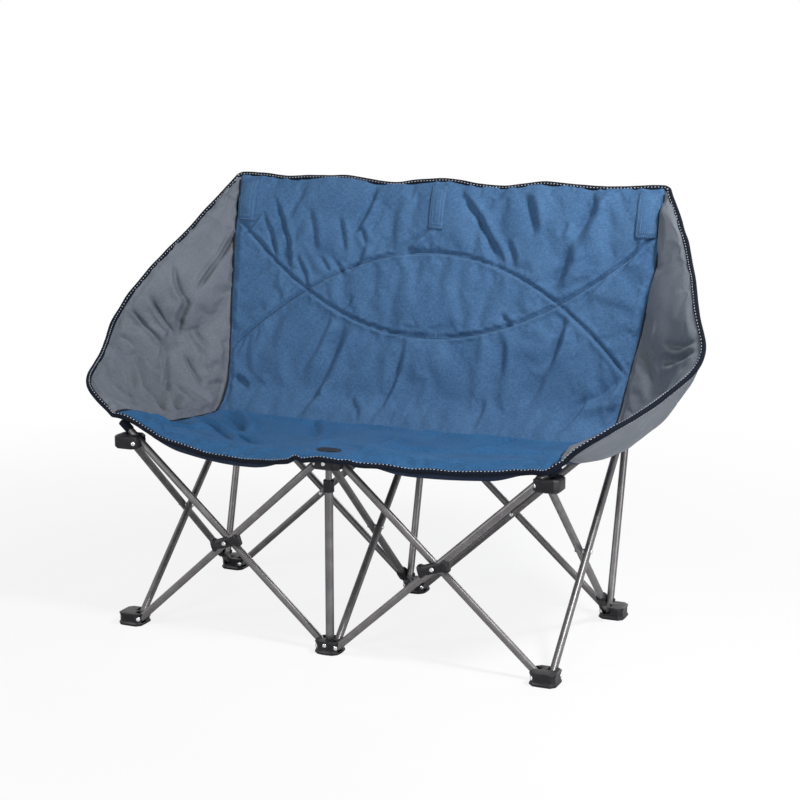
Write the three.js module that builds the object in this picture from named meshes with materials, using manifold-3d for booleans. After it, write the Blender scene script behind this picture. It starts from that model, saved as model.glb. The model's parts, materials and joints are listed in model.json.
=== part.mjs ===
// Folding camping loveseat: two scissor bays of steel tube, moulded joints and a padded fabric tub.
// Millimetres, +Z up. The seat faces -Y, and the feet stand on z = 0.
import * as THREE from 'three';
import { mergeVertices } from 'three/addons/utils/BufferGeometryUtils.js';
import Module from 'manifold-3d';

const wasm = await Module();
wasm.setup();

// Driving dimensions of the frame
const BAY = 480;
const PIVOT_ACROSS = 22;
const PIVOT_FRONT = 16;
const PIVOT_REAR = 12;
const FOOT_PIVOT_Z = 16;
const TOP_PIVOT_Z = 412;
const FOLDED_ANGLE = THREE.MathUtils.degToRad(5);
const CLEARANCE = 0.3;

// Tubes and rivets
const TUBE_RADIUS = 8;
const TUBE_WALL = 1.5;
const TUBE_END = 8;
const TUBE_SIDES = 10;
const TUBE_SPACING = 2;
const TIP_REACH = 60;
const PIN_RADIUS = 2.5;
const HEAD_RADIUS = 5;
const HEAD_THICKNESS = 2;
const SPACER_RADIUS = 5;
const PIN_SIDES = 8;
const ROUND_SIDES = 16;

// Moulded feet and joint blocks
const FOOT_HEIGHT = 28;
const FOOT_HALF = 29;
const FOOT_LIP = 5;
const FOOT_WAIST = 2;
const CHEEK = 4;
const BLOCK_BELOW = 13;
const BLOCK_ABOVE = 15;
const BLOCK_HALF = 28;
const BLOCK_CHAMFER = 3;
const BLOCK_SET_BACK = 2;
const HUB_HALF = 33;
const HUB_SOCKET = 10;
const SLOT_MARGIN = 0.6;

// Back posts, the collars that carry them and the sleeves they slide through
const POST_HINGE = 60;
const POST_OFFSET = 46;
const POST_TOP_Z = 926;
const COLLAR_LENGTH = 28;
const COLLAR_WALL = 4;
const COLLAR_ROUND = 2;
const SLEEVE_WALL = 6;
const SLEEVE_SLACK = 11;
const SLEEVE_HALF_X = 30;
const SLEEVE_HALF_Y = 26;
const CUP_LENGTH = 26;
const CUP_WALL = 1.6;

// Telescopic centre post
const LOWER_RADIUS = 9;
const LOWER_TOP_Z = 366;
const INNER_RADIUS = 6.8;
const INNER_BOTTOM_Z = 96;
const BUSH_WALL = 2.2;
const BUSH_LENGTH = 26;
const BUSH_LIP = 8;
const SPIGOT_HEIGHT = 14;

// Front crossing brackets
const BRACKET_LENGTH = 66;
const BRACKET_WIDTH = 29;
const BRACKET_FRONT = 5;
const BRACKET_ROUND = 2;
const BRACKET_RIM = 6;
const BRACKET_NECK = 11;
const BRACKET_TURN = THREE.MathUtils.degToRad(-24);

// Padded fabric
const HALF_PAD = 4;
const SEAM_GAP = 0.8;
const SEAT_CROWN = 5;
const SEAT_PLUMP = 60;
const SEAT_ROLL = 16;
const SEAT_ROLL_RUN = 70;
const BACK_CROWN = 11;
const ARM_CROWN = 8;
const CREASE_AHEAD = 72;
const CREASE_DROP = 16;
const BACK_CURL = 48;
const BACK_CURL_SHARE = 0.14;
const BACK_BOW = 12;
const BACK_ABOVE_POST = 20;
const BACK_AHEAD_POST = 8;
const BACK_WIDENING = 48;
const BACK_FULL_SHARE = 0.85;
const BACK_EDGE_SAG = 12;
const CORNER_MARGIN = 3.6;
const CORNER_LIFT = 17.7;
const CORNER_RUN = 190;
const CORNER_START_LEFT = 0.83;
const CORNER_START_RIGHT = 0.88;
const EDGE_OVERHANG = 22;
const EDGE_BOW = 12;
const EDGE_SAG_LEFT = 31;
const EDGE_SAG_RIGHT = 15;
const EDGE_SAG_SPAN = 0.87;
const EDGE_FLAP = 7;
const EDGE_DROOP = 3;
const HUB_OVERHANG = 18;
const HUB_OVERHANG_RUN = 170;
const SEAT_FOLD = 81;
const SEAT_SAG = 14;
const SEAT_FLAT = 30;
const ARCH_TOP = 387;
const ARCH_DROP = 232;
const SMILE_LOW = 198;
const SMILE_RISE = 211;
const CHANNEL_WIDTH = 26;
const ARM_UPPER_SPREAD = 128;
const ARM_UPPER_BEHIND = 140;
const ARM_UPPER_RISE = 433;
const ARM_SHOULDER_SPREAD = 189;
const ARM_SHOULDER_AHEAD = 2;
const ARM_SHOULDER_RISE = 316;
const ARM_BEND_SPREAD = 220;
const ARM_BEND_AHEAD = 72;
const ARM_BEND_RISE = 233;
const ARM_MIDDLE_SPREAD = 178;
const ARM_MIDDLE_AHEAD = 201;
const ARM_MIDDLE_RISE = 172;
const ARM_FRONT_SPREAD = 112;
const ARM_FRONT_AHEAD = 362;
const ARM_FRONT_RISE = 125;
const ARM_BINDING = 6;
const ARM_TUCK = 1.1;
const ARM_BELLY = 30;
const PLATE_HALF_X = 27;
const PLATE_HALF_Y = 15;
const PLATE_THICKNESS = 3;
const PLATE_Y = 2;
const PLATE_BORDER = 7;

// Sizes that follow from the driving dimensions
const SPAN = BAY - 2 * PIVOT_ACROSS;
const DEPTH = SPAN + PIVOT_FRONT + PIVOT_REAR;
const RISE = TOP_PIVOT_Z - FOOT_PIVOT_Z;
const LINK = Math.hypot(SPAN, RISE);
const OPEN_ANGLE = Math.atan2(SPAN, RISE);
const LAYER = TUBE_RADIUS + TUBE_SPACING / 2;
const REAR_PIVOT_Y = DEPTH - PIVOT_REAR;
const HOLE_RADIUS = (PIN_RADIUS + CLEARANCE) / Math.cos(Math.PI / PIN_SIDES);
const SLOT_WIDTH = 2 * (TUBE_RADIUS + CLEARANCE);
const SLOT_RADIUS = Math.hypot(TUBE_END, TUBE_RADIUS) + SLOT_MARGIN;
const SLOT_REACH = 4 * SLOT_RADIUS;
const BLOCK_TOP_Z = TOP_PIVOT_Z + BLOCK_ABOVE;
const COLLAR_Y = REAR_PIVOT_Y - POST_HINGE * Math.sin(OPEN_ANGLE);
const COLLAR_Z = FOOT_PIVOT_Z + POST_HINGE * Math.cos(OPEN_ANGLE);
const POST_SLEEVE_Y = REAR_PIVOT_Y + POST_OFFSET;
const POST_LEAN = Math.atan2(POST_SLEEVE_Y - COLLAR_Y, TOP_PIVOT_Z - COLLAR_Z);
const FOLDED_LEAN = Math.atan2(POST_HINGE * Math.sin(FOLDED_ANGLE) + POST_OFFSET,
  (LINK - POST_HINGE) * Math.cos(FOLDED_ANGLE));
const MIDDLE_LEAN = (POST_LEAN + FOLDED_LEAN) / 2;
const POST_TOP_Y = COLLAR_Y + (POST_TOP_Z - COLLAR_Z) * Math.tan(POST_LEAN);
const CREASE_Y = REAR_PIVOT_Y - CREASE_AHEAD;
const CREASE_Z = TOP_PIVOT_Z - CREASE_DROP;
const BACK_TOP_Y = POST_TOP_Y - BACK_AHEAD_POST;
const BACK_TOP_Z = POST_TOP_Z + BACK_ABOVE_POST;
const SEAT_HALF = BAY;
const CORNER_HALF = BAY - PIVOT_ACROSS + TIP_REACH * Math.sin(OPEN_ANGLE) + CORNER_MARGIN;
const CORNER_Z = TOP_PIVOT_Z + TIP_REACH * Math.cos(OPEN_ANGLE) + CORNER_LIFT;
const SEAT_HINGE_Y = PLATE_Y + PLATE_HALF_Y + PLATE_BORDER;
const SEAT_SPLIT_Y = SEAT_HINGE_Y + SEAT_FOLD;

const X_AXIS = new THREE.Vector3(1, 0, 0);
const Y_AXIS = new THREE.Vector3(0, 1, 0);
const Z_AXIS = new THREE.Vector3(0, 0, 1);
const vec = (x, y, z) => new THREE.Vector3(x, y, z);

const STEEL = { color: 0x55585c, roughness: 0.34, metalness: 0.9 };
const BLACK = { color: 0x141518, roughness: 0.5, metalness: 0 };
const BRIGHT = { color: 0xc9ccd0, roughness: 0.25, metalness: 1 };
const BLUE = { color: 0x2f5f94, roughness: 0.9, metalness: 0 };
const GREY = { color: 0x5d6068, roughness: 0.9, metalness: 0 };

const loveseat = new THREE.Group();

function add(name, geometry, finish, position = vec(0, 0, 0), turn = new THREE.Quaternion()) {
  const mesh = new THREE.Mesh(geometry, new THREE.MeshStandardMaterial(finish));
  mesh.name = name;
  mesh.position.copy(position);
  mesh.quaternion.copy(turn);
  loveseat.add(mesh);
  return mesh;
}

// A closed geometry as a solid that can be joined and cut
function solid(geometry) {
  const bare = geometry.clone();
  bare.deleteAttribute('normal');
  bare.deleteAttribute('uv');
  const merged = mergeVertices(bare, 1e-4);
  const vertProperties = new Float32Array(merged.attributes.position.array);
  const triVerts = new Uint32Array(merged.index.array);
  return new wasm.Manifold(new wasm.Mesh({ numProp: 3, vertProperties, triVerts }));
}

function geometryOf(body) {
  const mesh = body.getMesh();
  const geometry = new THREE.BufferGeometry();
  geometry.setAttribute('position', new THREE.BufferAttribute(new Float32Array(mesh.vertProperties), 3));
  geometry.setIndex(new THREE.BufferAttribute(new Uint32Array(mesh.triVerts), 1));
  geometry.computeVertexNormals();
  return geometry;
}

function rod(centre, axis, radius, length, sides) {
  const geometry = new THREE.CylinderGeometry(radius, radius, length, sides);
  geometry.applyQuaternion(new THREE.Quaternion().setFromUnitVectors(Y_AXIS, axis));
  geometry.translate(centre.x, centre.y, centre.z);
  return solid(geometry);
}

function box(low, high) {
  const size = high.clone().sub(low);
  const geometry = new THREE.BoxGeometry(size.x, size.y, size.z);
  const centre = low.clone().add(high).multiplyScalar(0.5);
  geometry.translate(centre.x, centre.y, centre.z);
  return solid(geometry);
}

// Rounded outline between a circle (power 2) and a square (high power)
function outlineReach(angle, power) {
  const c = Math.abs(Math.cos(angle)) ** power;
  const s = Math.abs(Math.sin(angle)) ** power;
  return (c + s) ** (-1 / power);
}

// A moulded block: one rounded outline drawn up through levels of [height, scale]
function moulded(halfX, halfY, power, levels, points = ROUND_SIDES) {
  const positions = [];
  const index = [];
  for (const [height, scale] of levels) {
    for (let i = 0; i < points; i += 1) {
      const angle = (2 * Math.PI * (i + 0.5)) / points;
      const reach = outlineReach(angle, power) * scale;
      positions.push(halfX * reach * Math.cos(angle), halfY * reach * Math.sin(angle), height);
    }
  }
  for (let level = 0; level < levels.length - 1; level += 1) {
    for (let i = 0; i < points; i += 1) {
      const a = level * points + i;
      const b = level * points + ((i + 1) % points);
      index.push(a, b, b + points, a, b + points, a + points);
    }
  }
  const top = (levels.length - 1) * points;
  for (let i = 1; i < points - 1; i += 1) {
    index.push(0, i + 1, i);
    index.push(top, top + i, top + i + 1);
  }
  const geometry = new THREE.BufferGeometry();
  geometry.setAttribute('position', new THREE.Float32BufferAttribute(positions, 3));
  geometry.setIndex(index);
  return solid(geometry);
}

// The space a tube end sweeps as it swings between upright and its open angle
function fanSlot(pivot, plane, toward, up) {
  const open = OPEN_ANGLE + THREE.MathUtils.degToRad(1);
  const along = new THREE.Vector2(Math.sin(open), Math.cos(open)).multiplyScalar(SLOT_REACH);
  const shape = new THREE.Shape();
  const steps = 6;
  const corner = (u, w) => new THREE.Vector2(toward * u, up * w);
  const points = [corner(-SLOT_RADIUS, SLOT_REACH)];
  for (let i = 0; i <= steps; i += 1) {
    const angle = Math.PI + ((Math.PI - open) * i) / steps;
    points.push(corner(SLOT_RADIUS * Math.cos(angle), SLOT_RADIUS * Math.sin(angle)));
  }
  points.push(corner(SLOT_RADIUS * Math.cos(open) + along.x, -SLOT_RADIUS * Math.sin(open) + along.y));
  shape.setFromPoints(points);
  const geometry = new THREE.ExtrudeGeometry(shape, { depth: SLOT_WIDTH, bevelEnabled: false });
  geometry.translate(0, 0, -SLOT_WIDTH / 2);
  const basis = new THREE.Matrix4();
  if (plane === 'across') basis.makeBasis(X_AXIS, Z_AXIS, Y_AXIS.clone().negate());
  else basis.makeBasis(Y_AXIS, Z_AXIS, X_AXIS);
  geometry.applyMatrix4(basis);
  geometry.translate(pivot.x, pivot.y, pivot.z);
  return solid(geometry);
}

// Cuts a slot for one tube end and puts the pin across it
function withTubeEnd(body, end) {
  const axis = end.plane === 'across' ? Y_AXIS : X_AXIS;
  let cut = body.subtract(fanSlot(end.pivot, end.plane, end.toward, end.up));
  if (end.through) cut = cut.subtract(fanSlot(end.pivot, end.plane, -end.toward, -end.up));
  return { body: cut, pin: rod(end.pivot, axis, PIN_RADIUS, SLOT_WIDTH + 2 * CHEEK - 1, PIN_SIDES) };
}

function jointBlock(body, ends) {
  let block = body;
  const pins = [];
  for (const end of ends) {
    const cut = withTubeEnd(block, end);
    block = cut.body;
    pins.push(cut.pin);
  }
  for (const pin of pins) block = block.add(pin);
  return block;
}

// Tube ends by where they sit: across tubes lie in the front and back planes, side tubes run fore and aft
function acrossEnd(side, layer, y, z, up, through = false) {
  return { plane: 'across', pivot: vec(side * PIVOT_ACROSS, y + layer * LAYER, z), toward: side, up, through };
}

function sideEnd(layer, y, z, toward, up) {
  return { plane: 'side', pivot: vec(layer * LAYER, y, z), toward, up };
}

// A moulded foot with a lip at the floor, a waist and a lip above
function footBody(power) {
  const waist = 1 - FOOT_WAIST / FOOT_HALF;
  const rounding = 0.3 * FOOT_LIP;
  const levels = [[0, waist], [rounding, 1], [FOOT_LIP, 1], [2 * FOOT_LIP - rounding, waist],
    [FOOT_HEIGHT - 2 * FOOT_LIP + rounding, waist], [FOOT_HEIGHT - rounding, 1], [FOOT_HEIGHT, waist]];
  return moulded(FOOT_HALF, FOOT_HALF, power, levels);
}

function addFoot(name, x, y, power, ends, extra) {
  let body = footBody(power);
  body = jointBlock(body, ends);
  if (extra) body = body.add(extra);
  add(name, geometryOf(body), BLACK, vec(x, y, 0));
}

// A hollow tube along local Z from one pivot to the other, cross-drilled along local X for its rivets
function linkTube(tip) {
  const low = -TUBE_END;
  const high = LINK + tip;
  const centre = vec(0, 0, (low + high) / 2);
  let body = rod(centre, Z_AXIS, TUBE_RADIUS, high - low, TUBE_SIDES);
  body = body.subtract(rod(centre, Z_AXIS, TUBE_RADIUS - TUBE_WALL, high - low + 2, TUBE_SIDES));
  for (const station of [0, LINK / 2, LINK]) {
    body = body.subtract(rod(vec(0, 0, station), X_AXIS, HOLE_RADIUS, 3 * TUBE_RADIUS, PIN_SIDES));
  }
  return geometryOf(body);
}

const LINK_TUBE = linkTube(TUBE_END);
const TIP_TUBE = linkTube(TIP_REACH);

// Turns local Z along the tube and local X along its rivets
function alongTube(from, to, rivetAxis) {
  const z = to.clone().sub(from).normalize();
  const x = rivetAxis.clone();
  const y = z.clone().cross(x);
  return new THREE.Quaternion().setFromRotationMatrix(new THREE.Matrix4().makeBasis(x, y, z));
}

function addAcrossTube(name, footX, footSide, planeY, layer, geometry = LINK_TUBE) {
  const from = vec(footX + footSide * PIVOT_ACROSS, planeY + layer * LAYER, FOOT_PIVOT_Z);
  const to = vec(from.x + footSide * SPAN, from.y, TOP_PIVOT_Z);
  add(name, geometry, STEEL, from, alongTube(from, to, Y_AXIS));
}

function addSideTube(name, lineX, layer, fromZ, toZ) {
  const from = vec(lineX + layer * LAYER, PIVOT_FRONT, fromZ);
  const to = vec(from.x, REAR_PIVOT_Y, toZ);
  add(name, LINK_TUBE, STEEL, from, alongTube(from, to, X_AXIS));
}

// Rivet at a crossing: two heads, a shank and the spacer between the tubes, turned about local Y
function crossingRivet(frontReach) {
  const back = TUBE_RADIUS + LAYER + CLEARANCE;
  const front = -frontReach - CLEARANCE;
  const spacer = TUBE_SPACING / 2 - CLEARANCE;
  const outline = [
    [0, front - HEAD_THICKNESS], [HEAD_RADIUS * 0.7, front - HEAD_THICKNESS], [HEAD_RADIUS, front],
    [PIN_RADIUS, front], [PIN_RADIUS, -spacer], [SPACER_RADIUS, -spacer], [SPACER_RADIUS, spacer],
    [PIN_RADIUS, spacer], [PIN_RADIUS, back], [HEAD_RADIUS, back],
    [HEAD_RADIUS * 0.7, back + HEAD_THICKNESS], [0, back + HEAD_THICKNESS],
  ].map(([radius, height]) => new THREE.Vector2(radius, height));
  return new THREE.LatheGeometry(outline, PIN_SIDES);
}

const TUBE_CROWN = TUBE_RADIUS + LAYER;
const CROSSING_Z = (FOOT_PIVOT_Z + TOP_PIVOT_Z) / 2;

// Bracket moulded over the front tube of each front crossing, open at the back where the other tube turns
function crossingBracket() {
  const half = BRACKET_LENGTH / 2;
  const front = TUBE_RADIUS + BRACKET_FRONT;
  const back = TUBE_RADIUS - 0.2;
  const levels = [[-half, 0.9], [BRACKET_ROUND - half, 1], [BRACKET_RIM - half, 1], [BRACKET_NECK - half, 0.78],
    [half - BRACKET_NECK, 0.78], [half - BRACKET_RIM, 1], [half - BRACKET_ROUND, 1], [half, 0.9]];
  let body = moulded(BRACKET_WIDTH / 2, front, 4, levels, 12);
  const far = BRACKET_LENGTH;
  body = body.subtract(box(vec(-far, back, -far), vec(far, far, far)));
  const tubeAxis = Z_AXIS.clone().applyAxisAngle(Y_AXIS, BRACKET_TURN);
  body = body.subtract(rod(vec(0, 0, 0), tubeAxis, TUBE_RADIUS + CLEARANCE * 1.5, 4 * far, TUBE_SIDES));
  return geometryOf(body.subtract(rod(vec(0, 0, 0), Y_AXIS, HOLE_RADIUS, 4 * front, PIN_SIDES)));
}

// Collar gripping a side tube above the rear foot, with the pin that carries the post
function postCollar() {
  const outer = TUBE_RADIUS + COLLAR_WALL;
  const face = 2 * LAYER - TUBE_RADIUS - CLEARANCE;
  const half = COLLAR_LENGTH / 2;
  const ring = [[-half, 0.9], [COLLAR_ROUND - half, 1], [half - COLLAR_ROUND, 1], [half, 0.9]];
  let body = moulded(outer, outer, 3, ring, 12);
  const far = 2 * COLLAR_LENGTH;
  body = body.subtract(box(vec(face, -far, -far), vec(far, far, far)));
  body = body.subtract(rod(vec(0, 0, 0), Z_AXIS, TUBE_RADIUS + CLEARANCE * 1.2, 2 * far, TUBE_SIDES));
  const pinStart = face - 1;
  const pinEnd = 2 * LAYER + TUBE_RADIUS + CLEARANCE;
  const pinLength = pinEnd - pinStart + 0.5;
  body = body.add(rod(vec(pinStart + pinLength / 2, 0, 0), X_AXIS, PIN_RADIUS, pinLength, PIN_SIDES));
  return body.add(rod(vec(pinEnd + HEAD_THICKNESS / 2, 0, 0), X_AXIS, HEAD_RADIUS, HEAD_THICKNESS, PIN_SIDES));
}

// Feet, tubes and rivets of the front
const LEFT = -BAY;
const RIGHT = BAY;
const FRONT_LAYER = -1;
const BEHIND_LAYER = 1;
const SPIGOT_RADIUS = LOWER_RADIUS - TUBE_WALL - CLEARANCE;
const spigot = rod(vec(0, 0, FOOT_HEIGHT + SPIGOT_HEIGHT / 2 - 1), Z_AXIS, SPIGOT_RADIUS, SPIGOT_HEIGHT + 2, ROUND_SIDES);
const OUTER_FOOT = 6;
const CENTRE_FOOT = 3.2;

addFoot('foot_front_left', LEFT, 0, OUTER_FOOT, [
  acrossEnd(1, FRONT_LAYER, 0, FOOT_PIVOT_Z, 1), sideEnd(1, PIVOT_FRONT, FOOT_PIVOT_Z, 1, 1)]);
addFoot('foot_front_centre', 0, 0, CENTRE_FOOT, [
  acrossEnd(-1, BEHIND_LAYER, 0, FOOT_PIVOT_Z, 1), acrossEnd(1, FRONT_LAYER, 0, FOOT_PIVOT_Z, 1),
  sideEnd(1, PIVOT_FRONT, FOOT_PIVOT_Z, 1, 1)], spigot);
addFoot('foot_front_right', RIGHT, 0, OUTER_FOOT, [
  acrossEnd(-1, BEHIND_LAYER, 0, FOOT_PIVOT_Z, 1), sideEnd(1, PIVOT_FRONT, FOOT_PIVOT_Z, 1, 1)]);
addFoot('foot_rear_left', LEFT, DEPTH, OUTER_FOOT, [
  acrossEnd(1, FRONT_LAYER, 0, FOOT_PIVOT_Z, 1), sideEnd(-1, -PIVOT_REAR, FOOT_PIVOT_Z, -1, 1)]);
addFoot('foot_rear_centre', 0, DEPTH, CENTRE_FOOT, [
  acrossEnd(-1, BEHIND_LAYER, 0, FOOT_PIVOT_Z, 1), acrossEnd(1, FRONT_LAYER, 0, FOOT_PIVOT_Z, 1),
  sideEnd(-1, -PIVOT_REAR, FOOT_PIVOT_Z, -1, 1)]);
addFoot('foot_rear_right', RIGHT, DEPTH, OUTER_FOOT, [
  acrossEnd(-1, BEHIND_LAYER, 0, FOOT_PIVOT_Z, 1), sideEnd(-1, -PIVOT_REAR, FOOT_PIVOT_Z, -1, 1)]);

addAcrossTube('front_tube_left_to_hub', LEFT, 1, 0, FRONT_LAYER);
addAcrossTube('front_tube_centre_to_left', 0, -1, 0, BEHIND_LAYER, TIP_TUBE);
addAcrossTube('front_tube_right_to_hub', RIGHT, -1, 0, BEHIND_LAYER);
addAcrossTube('front_tube_centre_to_right', 0, 1, 0, FRONT_LAYER, TIP_TUBE);
addAcrossTube('rear_tube_left_to_centre', LEFT, 1, DEPTH, FRONT_LAYER);
addAcrossTube('rear_tube_centre_to_left', 0, -1, DEPTH, BEHIND_LAYER);
addAcrossTube('rear_tube_right_to_centre', RIGHT, -1, DEPTH, BEHIND_LAYER);
addAcrossTube('rear_tube_centre_to_right', 0, 1, DEPTH, FRONT_LAYER);

const LINES = [['left', LEFT], ['centre', 0], ['right', RIGHT]];
for (const [side, lineX] of LINES) {
  addSideTube(`side_tube_${side}_rising`, lineX, 1, FOOT_PIVOT_Z, TOP_PIVOT_Z);
  addSideTube(`side_tube_${side}_falling`, lineX, -1, TOP_PIVOT_Z, FOOT_PIVOT_Z);
  const turn = new THREE.Quaternion().setFromUnitVectors(Y_AXIS, X_AXIS);
  const middle = vec(lineX, (PIVOT_FRONT + REAR_PIVOT_Y) / 2, CROSSING_Z);
  add(`side_rivet_${side}`, crossingRivet(TUBE_CROWN), BRIGHT, middle, turn);
}
for (const [side, sign] of [['left', -1], ['right', 1]]) {
  const middleX = (sign * BAY) / 2;
  const front = vec(middleX, 0, CROSSING_Z);
  add(`front_rivet_${side}`, crossingRivet(TUBE_CROWN + BRACKET_FRONT), BRIGHT, front);
  add(`rear_rivet_${side}`, crossingRivet(TUBE_CROWN), BRIGHT, vec(middleX, DEPTH, CROSSING_Z));
  const rising = vec(SPAN, 0, RISE).normalize();
  const turned = rising.clone().applyAxisAngle(Y_AXIS, -BRACKET_TURN);
  const across = turned.clone().cross(Y_AXIS).negate();
  const basis = new THREE.Matrix4().makeBasis(across, Y_AXIS, turned);
  const turn = new THREE.Quaternion().setFromRotationMatrix(basis);
  add(`crossing_bracket_${side}`, crossingBracket(), BLACK, vec(middleX, -LAYER, CROSSING_Z), turn);
}

// Joint blocks at the top of the front frame
const BLOCK_LEVELS = [[-BLOCK_BELOW, 0.9], [BLOCK_CHAMFER - BLOCK_BELOW, 1], [BLOCK_ABOVE - BLOCK_CHAMFER, 1],
  [BLOCK_ABOVE, 0.9]];
function topBlock(halfX, halfY, middleY, ends, bore) {
  let body = moulded(halfX, halfY, 6, BLOCK_LEVELS);
  body = body.translate([0, middleY, 0]);
  if (bore) body = body.subtract(bore);
  return geometryOf(jointBlock(body, ends));
}

const socketLength = BLOCK_BELOW + HUB_SOCKET;
const hubSocket = rod(vec(0, 0, -BLOCK_BELOW - 1 + (socketLength + 1) / 2), Z_AXIS,
  INNER_RADIUS + CLEARANCE, socketLength + 1, ROUND_SIDES);
add('front_hub', topBlock(HUB_HALF, BLOCK_HALF, BLOCK_SET_BACK, [
  acrossEnd(-1, FRONT_LAYER, 0, 0, -1), acrossEnd(1, BEHIND_LAYER, 0, 0, -1),
  sideEnd(-1, PIVOT_FRONT, 0, 1, -1)], hubSocket), BLACK, vec(0, 0, TOP_PIVOT_Z));
add('corner_block_left', topBlock(BLOCK_HALF, BLOCK_HALF, BLOCK_SET_BACK, [
  acrossEnd(1, BEHIND_LAYER, 0, 0, -1, true), sideEnd(-1, PIVOT_FRONT, 0, 1, -1)]), BLACK,
vec(LEFT, 0, TOP_PIVOT_Z));
add('corner_block_right', topBlock(BLOCK_HALF, BLOCK_HALF, BLOCK_SET_BACK, [
  acrossEnd(-1, FRONT_LAYER, 0, 0, -1, true), sideEnd(-1, PIVOT_FRONT, 0, 1, -1)]), BLACK,
vec(RIGHT, 0, TOP_PIVOT_Z));

// Telescopic centre post
function ring(outer, inner, low, high) {
  const outline = [[inner, low], [outer, low], [outer, high], [inner, high], [inner, low]];
  const lathe = new THREE.LatheGeometry(outline.map(([r, z]) => new THREE.Vector2(r, z)), ROUND_SIDES);
  return lathe.rotateX(Math.PI / 2);
}
add('centre_post_lower', ring(LOWER_RADIUS, LOWER_RADIUS - TUBE_WALL, FOOT_HEIGHT + CLEARANCE, LOWER_TOP_Z), STEEL);
add('centre_post_inner', ring(INNER_RADIUS, INNER_RADIUS - TUBE_WALL, INNER_BOTTOM_Z,
  TOP_PIVOT_Z + HUB_SOCKET - CLEARANCE), STEEL);
const bushOuter = LOWER_RADIUS + CLEARANCE + BUSH_WALL;
const bushLow = LOWER_TOP_Z - BUSH_LENGTH + BUSH_LIP;
const bushHigh = LOWER_TOP_Z + BUSH_LIP;
const bushOutline = [
  [LOWER_RADIUS + CLEARANCE, bushLow], [bushOuter, bushLow], [bushOuter, bushHigh - 2], [bushOuter - 1.5, bushHigh],
  [INNER_RADIUS + CLEARANCE, bushHigh], [INNER_RADIUS + CLEARANCE, LOWER_TOP_Z + CLEARANCE],
  [LOWER_RADIUS + CLEARANCE, LOWER_TOP_Z + CLEARANCE], [LOWER_RADIUS + CLEARANCE, bushLow],
].map(([r, z]) => new THREE.Vector2(r, z));
add('centre_post_bush', new THREE.LatheGeometry(bushOutline, ROUND_SIDES).rotateX(Math.PI / 2), BLACK);

// Sleeves at the back that the posts slide through
function sleeve(ends) {
  const front = moulded(SLEEVE_HALF_X, SLEEVE_HALF_Y, 6, BLOCK_LEVELS).translate([0, -BLOCK_SET_BACK, 0]);
  const bossHalf = TUBE_RADIUS + SLEEVE_WALL;
  const bossMiddle = POST_OFFSET - PIVOT_REAR + SLEEVE_SLACK / 2;
  const bossLength = bossHalf + SLEEVE_SLACK / 2 + CHEEK;
  const boss = moulded(bossHalf, bossLength, 4, BLOCK_LEVELS).translate([LAYER, bossMiddle, 0]);
  const body = jointBlock(front.add(boss), ends);
  return geometryOf(body.subtract(postBore()));
}

// Oval bore, leaning midway between the post's open and folded leans, long enough for the way it swings
function postBore() {
  const radius = TUBE_RADIUS + CLEARANCE;
  const swing = (BLOCK_ABOVE * Math.tan(POST_LEAN - MIDDLE_LEAN)) / Math.cos(MIDDLE_LEAN);
  const shape = new THREE.Shape();
  shape.absarc(0, -swing, radius, Math.PI, 2 * Math.PI, false);
  shape.absarc(0, SLEEVE_SLACK + swing, radius, 0, Math.PI, false);
  const length = 4 * BLOCK_HALF;
  const geometry = new THREE.ExtrudeGeometry(shape, { depth: length, bevelEnabled: false, curveSegments: 6 });
  geometry.translate(0, 0, -length / 2);
  geometry.rotateX(-MIDDLE_LEAN);
  geometry.translate(LAYER, POST_OFFSET - PIVOT_REAR, 0);
  return solid(geometry);
}
const leftBack = acrossEnd(-1, FRONT_LAYER, 0, 0, -1);
const rightBack = acrossEnd(1, BEHIND_LAYER, 0, 0, -1);
const risingTop = sideEnd(1, -PIVOT_REAR, 0, -1, -1);
add('rear_sleeve_left', sleeve([rightBack, risingTop]), BLACK, vec(LEFT, DEPTH, TOP_PIVOT_Z));
add('rear_sleeve_centre', sleeve([leftBack, rightBack, risingTop]), BLACK, vec(0, DEPTH, TOP_PIVOT_Z));
add('rear_sleeve_right', sleeve([leftBack, risingTop]), BLACK, vec(RIGHT, DEPTH, TOP_PIVOT_Z));

// Back posts and their collars
const postLength = (POST_TOP_Z - COLLAR_Z) / Math.cos(POST_LEAN);
function backPost() {
  const centre = vec(0, 0, (postLength - TUBE_END) / 2);
  let body = rod(centre, Z_AXIS, TUBE_RADIUS, postLength + TUBE_END, TUBE_SIDES);
  body = body.subtract(rod(centre, Z_AXIS, TUBE_RADIUS - TUBE_WALL, postLength + TUBE_END + 2, TUBE_SIDES));
  return geometryOf(body.subtract(rod(vec(0, 0, 0), X_AXIS, HOLE_RADIUS, 3 * TUBE_RADIUS, PIN_SIDES)));
}
const postTurn = new THREE.Quaternion().setFromAxisAngle(X_AXIS, -POST_LEAN);
const collarTurn = alongTube(vec(0, PIVOT_FRONT, TOP_PIVOT_Z), vec(0, REAR_PIVOT_Y, FOOT_PIVOT_Z), X_AXIS);
for (const [side, lineX] of LINES) {
  add(`back_post_${side}`, backPost(), STEEL, vec(lineX + LAYER, COLLAR_Y, COLLAR_Z), postTurn);
  add(`post_collar_${side}`, geometryOf(postCollar()), BLACK, vec(lineX - LAYER, COLLAR_Y, COLLAR_Z), collarTurn);
}

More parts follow.
